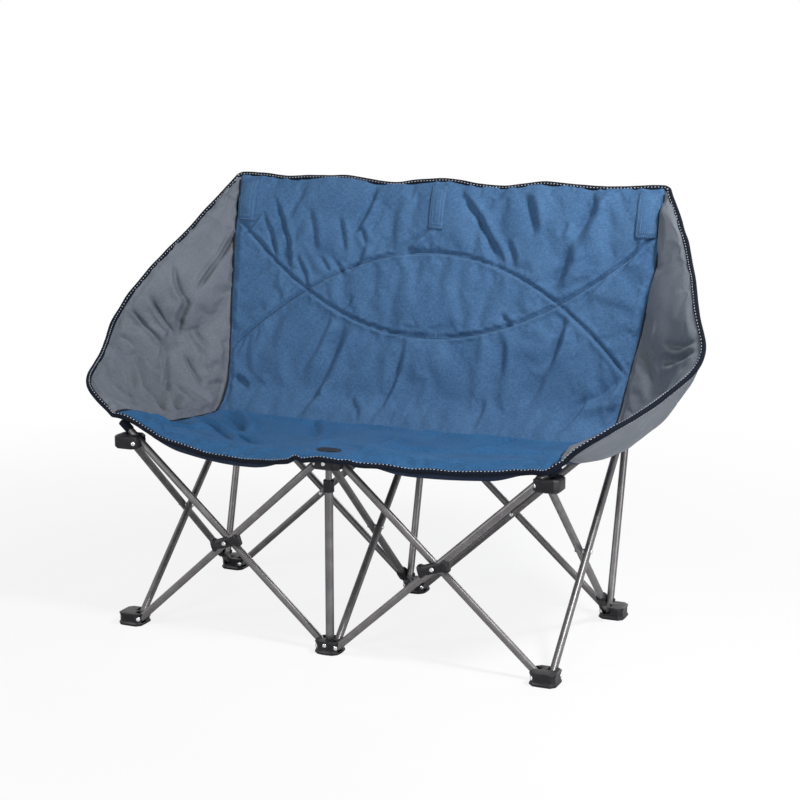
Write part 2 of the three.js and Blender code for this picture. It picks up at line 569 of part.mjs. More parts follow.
// Fabric cups sewn under the front corners, holding the tube tips
const rise = vec(SPAN, 0, RISE).normalize();
const cupOuter = TUBE_RADIUS + CLEARANCE + CUP_WALL;
function tipCup() {
  const shellRadius = TUBE_RADIUS + CLEARANCE;
  const outline = [[0, CLEARANCE], [shellRadius, CLEARANCE], [shellRadius, -CUP_LENGTH], [cupOuter, -CUP_LENGTH],
    [cupOuter, 0], [cupOuter - CUP_WALL, CUP_WALL], [0, CUP_WALL]].map(([r, z]) => new THREE.Vector2(r, z));
  return new THREE.LatheGeometry(outline, ROUND_SIDES);
}
for (const [side, sign, layer] of [['left', -1, BEHIND_LAYER], ['right', 1, FRONT_LAYER]]) {
  const pivot = vec(sign * (BAY - PIVOT_ACROSS), layer * LAYER, TOP_PIVOT_Z);
  const along = vec(sign * rise.x, 0, rise.z);
  const tip = pivot.clone().addScaledVector(along, TIP_REACH);
  add(`corner_cup_${side}`, tipCup(), BLACK, tip, new THREE.Quaternion().setFromUnitVectors(Y_AXIS, along));
}

// Padded cloth: a middle surface with separate thicknesses towards its two faces
function padded(surface, front, back, columns, rows) {
  const step = 1e-3;
  const positions = [];
  const count = (columns + 1) * (rows + 1);
  const faces = [[], []];
  for (let j = 0; j <= rows; j += 1) {
    for (let i = 0; i <= columns; i += 1) {
      const u = i / columns;
      const v = j / rows;
      const here = surface(u, v);
      const du = surface(Math.min(u + step, 1), v).sub(surface(Math.max(u - step, 0), v));
      const dv = surface(u, Math.min(v + step, 1)).sub(surface(u, Math.max(v - step, 0)));
      const normal = du.cross(dv).normalize();
      faces[0].push(here.clone().addScaledVector(normal, front(u, v)));
      faces[1].push(here.clone().addScaledVector(normal, -back(u, v)));
    }
  }
  for (const face of faces) for (const point of face) positions.push(point.x, point.y, point.z);
  const at = (i, j) => j * (columns + 1) + i;
  const index = [];
  for (let j = 0; j < rows; j += 1) {
    for (let i = 0; i < columns; i += 1) {
      const [a, b, c, d] = [at(i, j), at(i + 1, j), at(i + 1, j + 1), at(i, j + 1)];
      index.push(a, b, c, a, c, d);
      index.push(count + a, count + c, count + b, count + a, count + d, count + c);
    }
  }
  const wall = (a, b) => index.push(b, a, count + a, b, count + a, count + b);
  for (let i = 0; i < columns; i += 1) {
    wall(at(i, 0), at(i + 1, 0));
    wall(at(i + 1, rows), at(i, rows));
  }
  for (let j = 0; j < rows; j += 1) {
    wall(at(0, j + 1), at(0, j));
    wall(at(columns, j), at(columns, j + 1));
  }
  const geometry = new THREE.BufferGeometry();
  geometry.setAttribute('position', new THREE.Float32BufferAttribute(positions, 3));
  geometry.setIndex(index);
  geometry.computeVertexNormals();
  return geometry;
}

const smooth = (low, high, value) => THREE.MathUtils.smoothstep(value, low, high);
const mix = THREE.MathUtils.lerp;
// Rises from 0 at a panel's sewn edges to 1 inside it
const inside = (u, v, reach) => smooth(0, reach, Math.min(u, 1 - u)) * smooth(0, reach, Math.min(v, 1 - v));

// Back panel: curls up from the seat, leans back and is quilted along an arch and a hanging curve
const backHalf = (t) => {
  const share = Math.sin((Math.PI / 2) * Math.min(t / BACK_FULL_SHARE, 1));
  return SEAT_HALF + BACK_WIDENING * share ** 1.5;
};
function backPoint(across, t) {
  const wave = Math.sin(2 * Math.PI * Math.abs(across)) ** 2 * (Math.abs(across) < 0.5 ? 1 : 0.5);
  const sag = BACK_EDGE_SAG * wave * t ** 3;
  const curl = BACK_CURL * (1 - Math.min(t / BACK_CURL_SHARE, 1)) ** 2;
  const y = mix(CREASE_Y + BACK_CURL, BACK_TOP_Y, t) + BACK_BOW * Math.sin(Math.PI * t) - curl;
  return vec(across * backHalf(t), y, mix(CREASE_Z, BACK_TOP_Z, t) - sag);
}
function backQuilt(u, t) {
  const point = backPoint(2 * u - 1, t);
  const share = (point.x / SEAT_HALF) ** 2;
  const arch = Math.abs(point.z - CREASE_Z - ARCH_TOP + ARCH_DROP * share);
  const smile = Math.abs(point.z - CREASE_Z - SMILE_LOW - SMILE_RISE * share);
  const channel = Math.exp(-((Math.min(arch, smile) / CHANNEL_WIDTH) ** 2));
  return HALF_PAD + BACK_CROWN * inside(u, t, 0.16) * (1 - channel);
}
const BACK_ROWS = 14;
add('back_panel', padded((u, v) => backPoint(2 * u - 1, v), backQuilt, () => HALF_PAD, 30, BACK_ROWS), BLUE);

// Seat: hung from the hub and the front corners, dipping between them and towards the back
const edgeLineY = (x) => {
  const share = Math.min(Math.abs(x) / CORNER_HALF, 1);
  return EDGE_BOW * (share + Math.sin(Math.PI * share)) - EDGE_OVERHANG;
};
const frontEdgeY = (x) => edgeLineY(x) - HUB_OVERHANG * (1 - smooth(HUB_HALF, HUB_OVERHANG_RUN, Math.abs(x)));
const HUB_SEAT_Z = BLOCK_TOP_Z + CLEARANCE + HALF_PAD;
const REAR_EDGE_Y = CREASE_Y - HALF_PAD / 2 - SEAM_GAP;
const seatHalf = (y) => mix(CORNER_HALF, SEAT_HALF, smooth(0, SEAT_SPLIT_Y, y));
function seatZ(x, y) {
  const side = Math.abs(x) / SEAT_HALF;
  const run = THREE.MathUtils.clamp((y - edgeLineY(x)) / (REAR_EDGE_Y - edgeLineY(x)), 0, 1);
  const edgeSag = x < 0 ? EDGE_SAG_LEFT : EDGE_SAG_RIGHT;
  const besideHub = smooth(1.25 * HUB_HALF, 2.5 * HUB_HALF, Math.abs(x));
  const clear = mix(1, besideHub, smooth(-BLOCK_HALF - 2 * HALF_PAD, -BLOCK_HALF - HALF_PAD, y));
  const dip = edgeSag * Math.sin(Math.PI * Math.min(side / EDGE_SAG_SPAN, 1)) * (1 - run) * clear;
  const droop = EDGE_DROOP * (1 - smooth(0, EDGE_FLAP, y - frontEdgeY(x))) * (1 - smooth(0.7, EDGE_SAG_SPAN, side));
  const cornerStart = x < 0 ? CORNER_START_LEFT : CORNER_START_RIGHT;
  const cornerShare = smooth(cornerStart, CORNER_HALF / SEAT_HALF, side) * (1 - smooth(0.1, 1, y / CORNER_RUN));
  const rear = CREASE_Z + HALF_PAD * side ** 2;
  const sag = SEAT_SAG * Math.sin(Math.PI * run) * (1 - side ** 6) * smooth(SEAT_FLAT, SEAT_SPLIT_Y, y);
  const fallStart = mix(0.17, 0.02, smooth(0.1, 0.4, side));
  const fall = mix(HUB_SEAT_Z, rear, smooth(fallStart, 1, run));
  return fall - dip - droop + (CORNER_Z - HUB_SEAT_Z) * cornerShare - sag;
}
function seatPoint(u, y) {
  const x = (2 * u - 1) * seatHalf(y);
  return vec(x, y, seatZ(x, y));
}
const hubFlat = (x, y) => smooth(2.4 * PLATE_HALF_X, 4 * PLATE_HALF_X, Math.hypot(x, y));
// The front strip's first row is the flap that hangs ahead of the hub
const EDGE_ROWS = 3;
function edgeDepth(x, highY, v) {
  const low = frontEdgeY(x);
  const row = v * EDGE_ROWS;
  if (row < 1) return low + EDGE_FLAP * row;
  return mix(low + EDGE_FLAP, highY, (row - 1) / (EDGE_ROWS - 1));
}
function seatPiece(lowY, highY) {
  const place = (u, v) => seatPoint(u,
    lowY === null ? edgeDepth((2 * u - 1) * CORNER_HALF, highY, v) : mix(lowY, highY, v));
  const crown = (u, v) => {
    const point = place(u, v);
    const fromEdge = Math.min(point.y - frontEdgeY(point.x), REAR_EDGE_Y - point.y);
    const plump = smooth(0, SEAT_PLUMP, fromEdge) * smooth(0, 0.1, Math.min(u, 1 - u));
    return HALF_PAD + SEAT_CROWN * plump * hubFlat(point.x, point.y);
  };
  const underside = (u, v) => {
    const point = place(u, v);
    const span = Math.abs(point.x) / CORNER_HALF;
    const between = smooth(0.14, 0.35, span) * (1 - smooth(0.7, 0.9, span));
    return HALF_PAD + SEAT_ROLL * between * (1 - smooth(0, SEAT_ROLL_RUN, point.y - frontEdgeY(point.x)));
  };
  return { place, crown, underside };
}
const edgeSeat = seatPiece(null, SEAT_HINGE_Y - SEAM_GAP / 2);
const frontSeat = seatPiece(SEAT_HINGE_Y + SEAM_GAP / 2, SEAT_SPLIT_Y - SEAM_GAP / 2);
const rearSeat = seatPiece(SEAT_SPLIT_Y + SEAM_GAP / 2, REAR_EDGE_Y);
const SEAT_COLUMNS = 26;
const FRONT_ROWS = 2;
const REAR_ROWS = 6;
for (const [name, piece, rows] of [
  ['edge', edgeSeat, EDGE_ROWS], ['front', frontSeat, FRONT_ROWS], ['rear', rearSeat, REAR_ROWS]]) {
  add(`seat_${name}`, padded(piece.place, piece.crown, piece.underside, SEAT_COLUMNS, rows), BLUE);
}

// Arms: a fan of padded cloth between the sewn edge of back and seat and the bound outer edge
const SEAM_OFFSET = HALF_PAD - ARM_TUCK;
const BACK_TOP_HALF = backHalf(1);
const fromCrease = (spread, ahead, rise) => vec(BAY + spread, CREASE_Y - ahead, CREASE_Z + rise);
const armOuter = new THREE.CatmullRomCurve3([
  vec(BACK_TOP_HALF + SEAM_OFFSET + ARM_BINDING, BACK_TOP_Y - HALF_PAD, BACK_TOP_Z - HALF_PAD),
  fromCrease(ARM_UPPER_SPREAD, -ARM_UPPER_BEHIND, ARM_UPPER_RISE),
  fromCrease(ARM_SHOULDER_SPREAD, ARM_SHOULDER_AHEAD, ARM_SHOULDER_RISE),
  fromCrease(ARM_BEND_SPREAD, ARM_BEND_AHEAD, ARM_BEND_RISE),
  fromCrease(ARM_MIDDLE_SPREAD, ARM_MIDDLE_AHEAD, ARM_MIDDLE_RISE),
  fromCrease(ARM_FRONT_SPREAD, ARM_FRONT_AHEAD, ARM_FRONT_RISE),
  vec(CORNER_HALF + SEAM_OFFSET + ARM_BINDING, -2 * HALF_PAD, CORNER_Z)]);
// The arm's columns stand at the rows of the back and then at those of the seat
const SEAT_ROWS = EDGE_ROWS + FRONT_ROWS + REAR_ROWS;
const ARM_COLUMNS = BACK_ROWS + SEAT_ROWS;
const ARM_ROWS = 6;
const KNEE = BACK_ROWS / ARM_COLUMNS;
function seamDepth(share) {
  const row = share * SEAT_ROWS;
  if (row < REAR_ROWS) return mix(REAR_EDGE_Y, SEAT_SPLIT_Y, row / REAR_ROWS);
  const ahead = row - REAR_ROWS;
  if (ahead < FRONT_ROWS) return mix(SEAT_SPLIT_Y, SEAT_HINGE_Y, ahead / FRONT_ROWS);
  const left = EDGE_ROWS + FRONT_ROWS - ahead;
  return Math.max(edgeDepth(CORNER_HALF, SEAT_HINGE_Y, left / EDGE_ROWS), frontEdgeY(CORNER_HALF) + HALF_PAD);
}
function armSeam(s) {
  if (s < KNEE) {
    const edge = backPoint(1, mix(0.985, 0, s / KNEE));
    return vec(edge.x + SEAM_OFFSET, edge.y, edge.z);
  }
  const y = seamDepth((s - KNEE) / (1 - KNEE));
  const x = seatHalf(y);
  return vec(x + SEAM_OFFSET, y, seatZ(x, y) + HALF_PAD / 2);
}
// Straight between its edges, then bellied outwards where the cloth hangs free
const armFlat = (s, w) => armSeam(s).lerp(armOuter.getPoint(s), w);
function armPoint(s, w) {
  const ease = 0.12;
  const along = armFlat(Math.min(s + ease, 1), 0.5).sub(armFlat(Math.max(s - ease, 0), 0.5));
  const outward = armFlat(s, 1).sub(armFlat(s, 0)).cross(along).normalize();
  const fullness = smooth(0, 0.6, s) * smooth(0, 0.3, 1 - s);
  return armFlat(s, w).addScaledVector(outward, ARM_BELLY * Math.sin(Math.PI * w) * fullness);
}
const armCrown = (s, w) => HALF_PAD + ARM_CROWN * inside(s, w, 0.22);
const mirror = (point, sign) => vec(sign * point.x, point.y, point.z);
add('arm_right', padded((s, w) => armPoint(1 - s, w), armCrown, () => HALF_PAD, ARM_COLUMNS, ARM_ROWS), GREY);
add('arm_left', padded((s, w) => mirror(armPoint(s, w), -1), armCrown, () => HALF_PAD, ARM_COLUMNS, ARM_ROWS), GREY);

// Oval plate riveted through the seat into the hub
const plateZ = HUB_SEAT_Z + HALF_PAD + CLEARANCE;
const plate = moulded(PLATE_HALF_X, PLATE_HALF_Y, 2, [[0, 1], [PLATE_THICKNESS - 1, 1], [PLATE_THICKNESS, 0.9]]);
add('seat_plate', geometryOf(plate), BLACK, vec(0, PLATE_Y, plateZ));

// The origin is under the middle of the whole object
const bounds = new THREE.Box3().setFromObject(loveseat, true);
loveseat.position.set(0, -(bounds.min.y + bounds.max.y) / 2, 0);

export default loveseat;
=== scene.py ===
"""Folding camping loveseat: finishes, sewn fabric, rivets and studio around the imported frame."""

import json
import logging
import math
from collections.abc import Iterable, Sequence
from dataclasses import dataclass, field
from enum import Enum

import bmesh
import bpy
import numpy as np
from mathutils import Matrix, Vector, noise
from mathutils.bvhtree import BVHTree

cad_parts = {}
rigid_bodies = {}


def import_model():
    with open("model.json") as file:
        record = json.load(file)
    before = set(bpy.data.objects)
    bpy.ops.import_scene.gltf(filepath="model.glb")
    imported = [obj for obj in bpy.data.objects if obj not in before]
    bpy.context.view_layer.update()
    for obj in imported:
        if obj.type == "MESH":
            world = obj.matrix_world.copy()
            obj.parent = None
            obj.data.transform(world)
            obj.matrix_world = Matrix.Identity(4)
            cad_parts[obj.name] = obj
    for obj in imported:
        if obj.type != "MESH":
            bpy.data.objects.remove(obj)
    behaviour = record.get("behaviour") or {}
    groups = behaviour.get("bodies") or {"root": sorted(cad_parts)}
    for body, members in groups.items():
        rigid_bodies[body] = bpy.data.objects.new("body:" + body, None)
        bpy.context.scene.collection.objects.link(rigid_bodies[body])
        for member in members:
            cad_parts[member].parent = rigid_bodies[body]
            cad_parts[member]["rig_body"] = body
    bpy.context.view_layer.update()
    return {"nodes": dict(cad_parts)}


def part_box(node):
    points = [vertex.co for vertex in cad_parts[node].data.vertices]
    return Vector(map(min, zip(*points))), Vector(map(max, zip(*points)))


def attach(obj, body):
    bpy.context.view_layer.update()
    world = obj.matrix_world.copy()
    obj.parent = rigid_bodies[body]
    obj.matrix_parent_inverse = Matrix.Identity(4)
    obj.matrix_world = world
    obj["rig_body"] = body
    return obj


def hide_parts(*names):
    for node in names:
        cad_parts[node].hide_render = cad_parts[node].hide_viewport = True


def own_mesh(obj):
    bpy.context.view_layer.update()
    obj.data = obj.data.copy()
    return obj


LOG = logging.getLogger("loveseat")
Array = np.ndarray
Colour = tuple[float, float, float]
Vec3 = tuple[float, float, float]
Span = tuple[float, float]
NOISE_SEED = 11
TINY = 1e-12
BACK_FACING: Vec3 = (0.0, -0.92, 0.39)
STITCH_LIFT = 0.0004

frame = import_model()


def nodes_named(prefixes: tuple[str, ...]) -> list[str]:
    """The frame's nodes whose names start with one of the prefixes, in order."""
    return [node for node in sorted(frame["nodes"]) if node.startswith(prefixes)]


def body_of(node: str) -> str:
    """The body that carries a node of the frame."""
    return frame["nodes"][node]["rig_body"]


class Side(Enum):
    """The two hands of the seat, with the sign of X on each."""

    LEFT = -1
    RIGHT = 1

    @property
    def word(self) -> str:
        """The side's name as the frame spells it."""
        return self.name.lower()


class Slot(Enum):
    """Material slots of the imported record."""

    TUBE = "tube_steel"
    PLASTIC = "black_plastic"
    RIVET = "rivet_steel"
    BLUE = "blue_fabric"
    GREY = "grey_fabric"
    WEBBING = "black_webbing"


class Signal:
    """A shader socket that takes part in arithmetic."""

    def __init__(self, shader: "Shader", socket: bpy.types.NodeSocket) -> None:
        """Keeps the socket and the shader whose node tree it belongs to."""
        self.shader = shader
        self.socket = socket

    def math(self, operation: str, *others: "Signal | float") -> "Signal":
        """Adds a Math node.

        Args:
            operation: the Math node's operation.
            others: the further inputs, after this one.

        Returns:
            The node's value.
        """
        inputs = dict(enumerate((self, *others)))
        return self.shader.node("ShaderNodeMath", {"operation": operation}, inputs)

    def __add__(self, other: "Signal | float") -> "Signal":
        """Sum with a value."""
        return self.math("ADD", other)

    def __sub__(self, other: "Signal | float") -> "Signal":
        """Difference from a value."""
        return self.math("SUBTRACT", other)

    def __rsub__(self, other: float) -> "Signal":
        """A number less this value."""
        return self.math("MULTIPLY", -1.0).math("ADD", other)

    def __mul__(self, other: "Signal | float") -> "Signal":
        """Product with a value."""
        return self.math("MULTIPLY", other)

    __radd__ = __add__
    __rmul__ = __mul__

    def part(self, name: str) -> "Signal":
        """Another output of the node that this one comes from."""
        return Signal(self.shader, self.socket.node.outputs[name])


class Shader:
    """A node tree under construction, a material's or the world's."""

    def __init__(self, owner: bpy.types.Material | bpy.types.World) -> None:
        """Empties the owner's node tree.

        Args:
            owner: the material or world that the nodes belong to.
        """
        self.owner = owner
        owner.use_nodes = True
        self.tree = owner.node_tree
        self.tree.nodes.clear()

    @classmethod
    def named(cls, name: str) -> "Shader":
        """A shader for a new material of that name."""
        return cls(bpy.data.materials.new(name))

    def node(self, kind: str, settings: dict, inputs: dict, output: int | str = 0) -> Signal:
        """Adds one node.

        Args:
            kind: the node's type.
            settings: its properties, set first.
            inputs: values or signals by socket index or name.
            output: the socket to return.

        Returns:
            The chosen output.
        """
        made = self.tree.nodes.new(kind)
        for key, value in settings.items():
            setattr(made, key, value)
        for key, value in inputs.items():
            if isinstance(value, Signal):
                self.tree.links.new(value.socket, made.inputs[key])
            else:
                made.inputs[key].default_value = value
        return Signal(self, made.outputs[output] if made.outputs else None)

    def flat(self) -> Signal:
        """The piece's flat coordinates in metres."""
        return self.node("ShaderNodeUVMap", {}, {}, "UV")

    def place(self) -> Signal:
        """The piece's own coordinates in metres."""
        return self.node("ShaderNodeTexCoord", {}, {}, "Object")

    def noise(self, coordinates: Signal, scale: float, detail: float = 2.0) -> Signal:
        """A noise value of about 0.5 with the given scale per metre."""
        inputs = {"Vector": coordinates, "Scale": scale, "Detail": detail}
        return self.node("ShaderNodeTexNoise", {}, inputs, "Fac")

    def stretched(self, coordinates: Signal, scale: Vec3) -> Signal:
        """Coordinates scaled by a different amount along each axis."""
        return self.node("ShaderNodeVectorMath", {"operation": "MULTIPLY"}, {0: coordinates, 1: scale})

    def spread(self, value: Signal, low: float, high: float) -> Signal:
        """A value drawn out so that low becomes 0 and high becomes 1."""
        return self.node("ShaderNodeMapRange", {}, {0: value, 1: low, 2: high})

    def mix(self, factor: Signal, low: Colour, high: Colour) -> Signal:
        """A colour between two by a factor."""
        settings = {"data_type": "RGBA"}
        return self.node("ShaderNodeMix", settings, {0: factor, 6: (*low, 1.0), 7: (*high, 1.0)}, 2)

    def bump(self, height: Signal, strength: float, distance: float) -> Signal:
        """A normal from a height in metres times distance."""
        inputs = {"Height": height, "Strength": strength, "Distance": distance}
        return self.node("ShaderNodeBump", {}, inputs, "Normal")

    def surface(self, inputs: dict) -> bpy.types.Material:
        """Closes the material with a principled surface.

        Args:
            inputs: values or signals by the surface's socket name.

        Returns:
            The finished material.
        """
        shader = self.node("ShaderNodeBsdfPrincipled", {}, inputs)
        self.node("ShaderNodeOutputMaterial", {}, {"Surface": shader})
        return self.owner


@dataclass(frozen=True)
class WovenFinish:
    """Plain woven polyester with a heathered dye. Its noise scales count features per metre."""

    name: str
    colour: Colour
    shade: Colour
    slot: Slot
    thread: float = 0.0014
    fleck: float = 300.0
    slub: float = 0.35
    cloud: float = 12.0
    fuzz: float = 1500.0
    dye_shares: Vec3 = (0.25, 0.65, 0.1)
    dye_range: Span = (0.41, 0.59)
    sheen: float = 0.04
    sheen_roughness: float = 0.45
    roughness: float = 0.86
    roughness_spread: float = 0.16
    specular: float = 0.18
    bump_shares: Vec3 = (0.4, 0.2, 2.0)
    bump_strength: float = 0.55
    bump_height: float = 0.0007

    def make(self) -> bpy.types.Material:
        """The cloth's material: threads, flecks of lighter yarn and uneven dye.

        Returns:
            The material.
        """
        shader = Shader.named(self.name)
        flat = shader.flat()
        across = shader.node("ShaderNodeSeparateXYZ", {}, {0: flat}, "X")
        turn = 2 * math.pi / self.thread
        weave = (across * turn).math("SINE") * (across.part("Y") * turn).math("SINE") * 0.5 + 0.5
        cloudy = shader.noise(flat, self.cloud, 4.0)
        warp = shader.noise(shader.stretched(flat, (1.0, self.slub, 1.0)), self.fleck, 2.0)
        weft = shader.noise(shader.stretched(flat, (self.slub, 1.0, 1.0)), self.fleck, 2.0)
        fuzz = shader.noise(flat, self.fuzz, 1.0)
        yarn = warp * 0.5 + weft * 0.5
        of_cloud, of_yarn, of_weave = self.dye_shares
        mask = shader.spread(cloudy * of_cloud + yarn * of_yarn + weave * of_weave, *self.dye_range)
        by_weave, by_fuzz, by_yarn = self.bump_shares
        height = weave * by_weave + fuzz * by_fuzz + yarn * by_yarn
        return shader.surface({
            "Base Color": shader.mix(mask, self.shade, self.colour),
            "Roughness": yarn * self.roughness_spread + (self.roughness - 0.5 * self.roughness_spread),
            "Sheen Weight": self.sheen,
            "Sheen Roughness": self.sheen_roughness,
            "Specular IOR Level": self.specular,
            "Normal": shader.bump(height, self.bump_strength, self.bump_height),
        })


@dataclass(frozen=True)
class TapeFinish:
    """Ribbed tape: binding and webbing."""

    name: str
    colour: Colour
    shade: Colour
    slot: Slot
    rib: float = 0.0026
    rib_share: float = 0.6
    wear: float = 160.0
    roughness: float = 0.7
    roughness_spread: float = 0.2
    specular: float = 0.06
    bump_strength: float = 0.5
    bump_height: float = 0.0006

    def make(self) -> bpy.types.Material:
        """The tape's material, ribbed along its length.

        Returns:
            The material.
        """
        shader = Shader.named(self.name)
        flat = shader.flat()
        along = shader.node("ShaderNodeSeparateXYZ", {}, {0: flat}, "X")
        ribs = (along * (2 * math.pi / self.rib)).math("SINE") * 0.5 + 0.5
        worn = shader.noise(flat, self.wear, 3.0)
        mask = ribs * self.rib_share + worn * (1.0 - self.rib_share)
        return shader.surface({
            "Base Color": shader.mix(mask, self.shade, self.colour),
            "Roughness": worn * self.roughness_spread + self.roughness,
            "Specular IOR Level": self.specular,
            "Normal": shader.bump(ribs + worn * 0.5, self.bump_strength, self.bump_height),
        })


@dataclass(frozen=True)
class MetalFinish:
    """Coated or bare steel."""

    name: str
    colour: Colour
    worn: Colour
    roughness: float
    metallic: float
    slot: Slot
    roughness_spread: float = 0.16
    rub: float = 38.0
    rub_range: Span = (0.45, 0.75)
    peel: float = 900.0
    bump_strength: float = 0.12
    bump_height: float = 0.0003

    def make(self) -> bpy.types.Material:
        """The steel's material: a fine orange peel and slight rubbing.

        Returns:
            The material.
        """
        shader = Shader.named(self.name)
        place = shader.place()
        rubbed = shader.noise(place, self.rub, 5.0)
        peel = shader.noise(place, self.peel, 2.0)
        mask = shader.spread(rubbed, *self.rub_range)
        return shader.surface({
            "Base Color": shader.mix(mask, self.colour, self.worn),
            "Metallic": self.metallic,
            "Roughness": rubbed * self.roughness_spread + (self.roughness - 0.5 * self.roughness_spread),
            "Normal": shader.bump(peel, self.bump_strength, self.bump_height),
        })


@dataclass(frozen=True)
class MouldedFinish:
    """Black moulded nylon."""

    name: str
    colour: Colour
    scuffed: Colour
    slot: Slot
    smoothest: float = 0.3
    roughness_spread: float = 0.25
    specular: float = 0.25
    spark: float = 1600.0
    scuff: float = 60.0
    scuff_range: Span = (0.5, 0.8)
    bump_strength: float = 0.2
    bump_height: float = 0.0003

    def make(self) -> bpy.types.Material:
        """The moulding's material: fine spark texture and faint scuffs.

        Returns:
            The material.
        """
        shader = Shader.named(self.name)
        place = shader.place()
        spark = shader.noise(place, self.spark, 2.0)
        scuff = shader.noise(place, self.scuff, 6.0)
        mask = shader.spread(scuff, *self.scuff_range)
        return shader.surface({
            "Base Color": shader.mix(mask, self.colour, self.scuffed),
            "Roughness": scuff * self.roughness_spread + self.smoothest,
            "Specular IOR Level": self.specular,
            "Normal": shader.bump(spark, self.bump_strength, self.bump_height),
        })


@dataclass(frozen=True)
class ThreadFinish:
    """Twisted sewing thread."""

    name: str
    colour: Colour
    slot: Slot
    darkest: float = 0.7
    fibre: float = 700.0
    roughness: float = 0.6
    roughness_spread: float = 0.2
    specular: float = 0.3

    def make(self) -> bpy.types.Material:
        """The thread's material, slightly uneven along its length.

        Returns:
            The material.
        """
        shader = Shader.named(self.name)
        place = shader.place()
        fibre = shader.noise(place, self.fibre, 2.0)
        dark = tuple(self.darkest * value for value in self.colour)
        return shader.surface({
            "Base Color": shader.mix(fibre, dark, self.colour),
            "Roughness": fibre * self.roughness_spread + self.roughness,
            "Specular IOR Level": self.specular,
        })


Finish = WovenFinish | TapeFinish | MetalFinish | MouldedFinish | ThreadFinish


@dataclass
class Finishes:
    """Every finish on the seat, each made into a material once."""

    blue: Finish = WovenFinish("blue_cloth", (0.079, 0.176, 0.334), (0.046, 0.115, 0.24), Slot.BLUE)
    # The seat's cloth is a darker copy of the back's blue: painted shade that offsets the stronger light from
    # above on the seat.
    seat_blue: Finish = WovenFinish(
        "seat_blue_cloth", (0.039, 0.143, 0.316), (0.022, 0.094, 0.222), Slot.BLUE)
    # The seat's underside: the blue cloth darkened to navy, painted shade under the seat.
    lining: Finish = WovenFinish("navy_lining", (0.018, 0.03, 0.06), (0.01, 0.017, 0.036), Slot.BLUE)
    grey: Finish = WovenFinish(
        "grey_cloth", (0.178, 0.199, 0.234), (0.132, 0.149, 0.178), Slot.GREY, roughness=0.66, specular=0.32)
    tape: Finish = TapeFinish("navy_binding", (0.014, 0.018, 0.03), (0.005, 0.007, 0.012), Slot.WEBBING)
    tube: Finish = MetalFinish(
        "gunmetal_tube", (0.15, 0.143, 0.147), (0.2, 0.193, 0.196), 0.36, 0.6, Slot.TUBE)
    rivet: Finish = MetalFinish("zinc_rivet", (0.7, 0.71, 0.73), (0.82, 0.82, 0.84), 0.24, 1.0, Slot.RIVET)
    plastic: Finish = MouldedFinish("black_nylon", (0.011, 0.011, 0.013), (0.03, 0.03, 0.033), Slot.PLASTIC)
    white_thread: Finish = ThreadFinish("white_thread", (0.74, 0.78, 0.84), Slot.WEBBING)
    blue_thread: Finish = ThreadFinish("blue_thread", (0.19, 0.33, 0.52), Slot.BLUE)
    # Thread for the back's quilting seams, its dark colour painted shade of the seams' grooves.
    dark_thread: Finish = ThreadFinish("dark_thread", (0.03, 0.07, 0.15), Slot.BLUE)
    # Near-black cord colour for the seams beside the arms and behind the seat, partly thread and partly
    # painted shade.
    lining_thread: Finish = ThreadFinish("lining_thread", (0.012, 0.016, 0.028), Slot.BLUE)
    made: dict[str, bpy.types.Material] = field(default_factory=dict)

    def of(self, finish: Finish) -> bpy.types.Material:
        """The material of a finish, made on first use.

        Args:
            finish: one of the finishes.

        Returns:
            Its material.
        """
        if finish.name not in self.made:
            self.made[finish.name] = finish.make()
        return self.made[finish.name]

    def dress(self, piece: bpy.types.Object, finish: Finish, second: Finish | None = None) -> None:
        """Gives a piece its finish.

        Args:
            piece: the piece.
            finish: what it is made of.
            second: what its faces of the second material are made of.
        """
        polygons = piece.data.polygons
        chosen = np.zeros(len(polygons), np.int32)
        if second is not None:
            polygons.foreach_get("material_index", chosen)
        piece.data.materials.clear()
        for worn in (finish, second):
            if worn is not None:
                piece.data.materials.append(self.of(worn))
        polygons.foreach_set("material_index", chosen)


def smoothstep(low: float, high: float, value: Array) -> Array:
    """A smooth rise from 0 at low to 1 at high."""
    share = np.clip((value - low) / (high - low), 0.0, 1.0)
    return share * share * (3.0 - 2.0 * share)


def blend(low: Array | float, high: Array | float, share: Array | float) -> Array | float:
    """A straight mix of two values."""
    return low + (high - low) * share


def unit(vectors: Array) -> Array:
    """Vectors scaled to length 1."""
    return vectors / np.maximum(np.linalg.norm(vectors, axis=-1, keepdims=True), TINY)


def grid_normals(points: Array) -> Array:
    """Normals of a grid of points, along columns cross rows.

    Args:
        points: the grid, row by row.

    Returns:
        A unit normal for each point.
    """
    across = np.gradient(points, axis=1)
    up = np.gradient(points, axis=0)
    return unit(np.cross(across, up))


def run_along(path: Array) -> Array:
    """The distance from a path's start to each of its points."""
    return np.concatenate([[0.0], np.cumsum(np.linalg.norm(np.diff(path, axis=0), axis=1))])


def grid_flat(points: Array) -> Array:
    """Flat coordinates of a grid in metres, measured along its middle row and column.

    Args:
        points: the grid, row by row.

    Returns:
        Two coordinates for each point.
    """
    rows, columns = points.shape[:2]
    u = run_along(points[rows // 2])
    v = run_along(points[:, columns // 2])
    return np.stack(np.meshgrid(u, v), axis=-1)


def refine_grid(points: Array) -> Array:
    """A grid with twice the rows and columns, curved through the same points.

    Args:
        points: the grid, row by row.

    Returns:
        The finer grid.
    """
    for axis in (0, 1):
        lines = np.moveaxis(points, axis, 0)
        first = 2 * lines[:1] - lines[1:2]
        last = 2 * lines[-1:] - lines[-2:-1]
        longer = np.concatenate([first, lines, last])
        made = np.empty((2 * len(lines) - 1, *lines.shape[1:]))
        made[0::2] = lines
        made[1::2] = (9 * (longer[1:-2] + longer[2:-1]) - longer[:-3] - longer[3:]) / 16
        points = np.moveaxis(made, 0, axis)
    return points


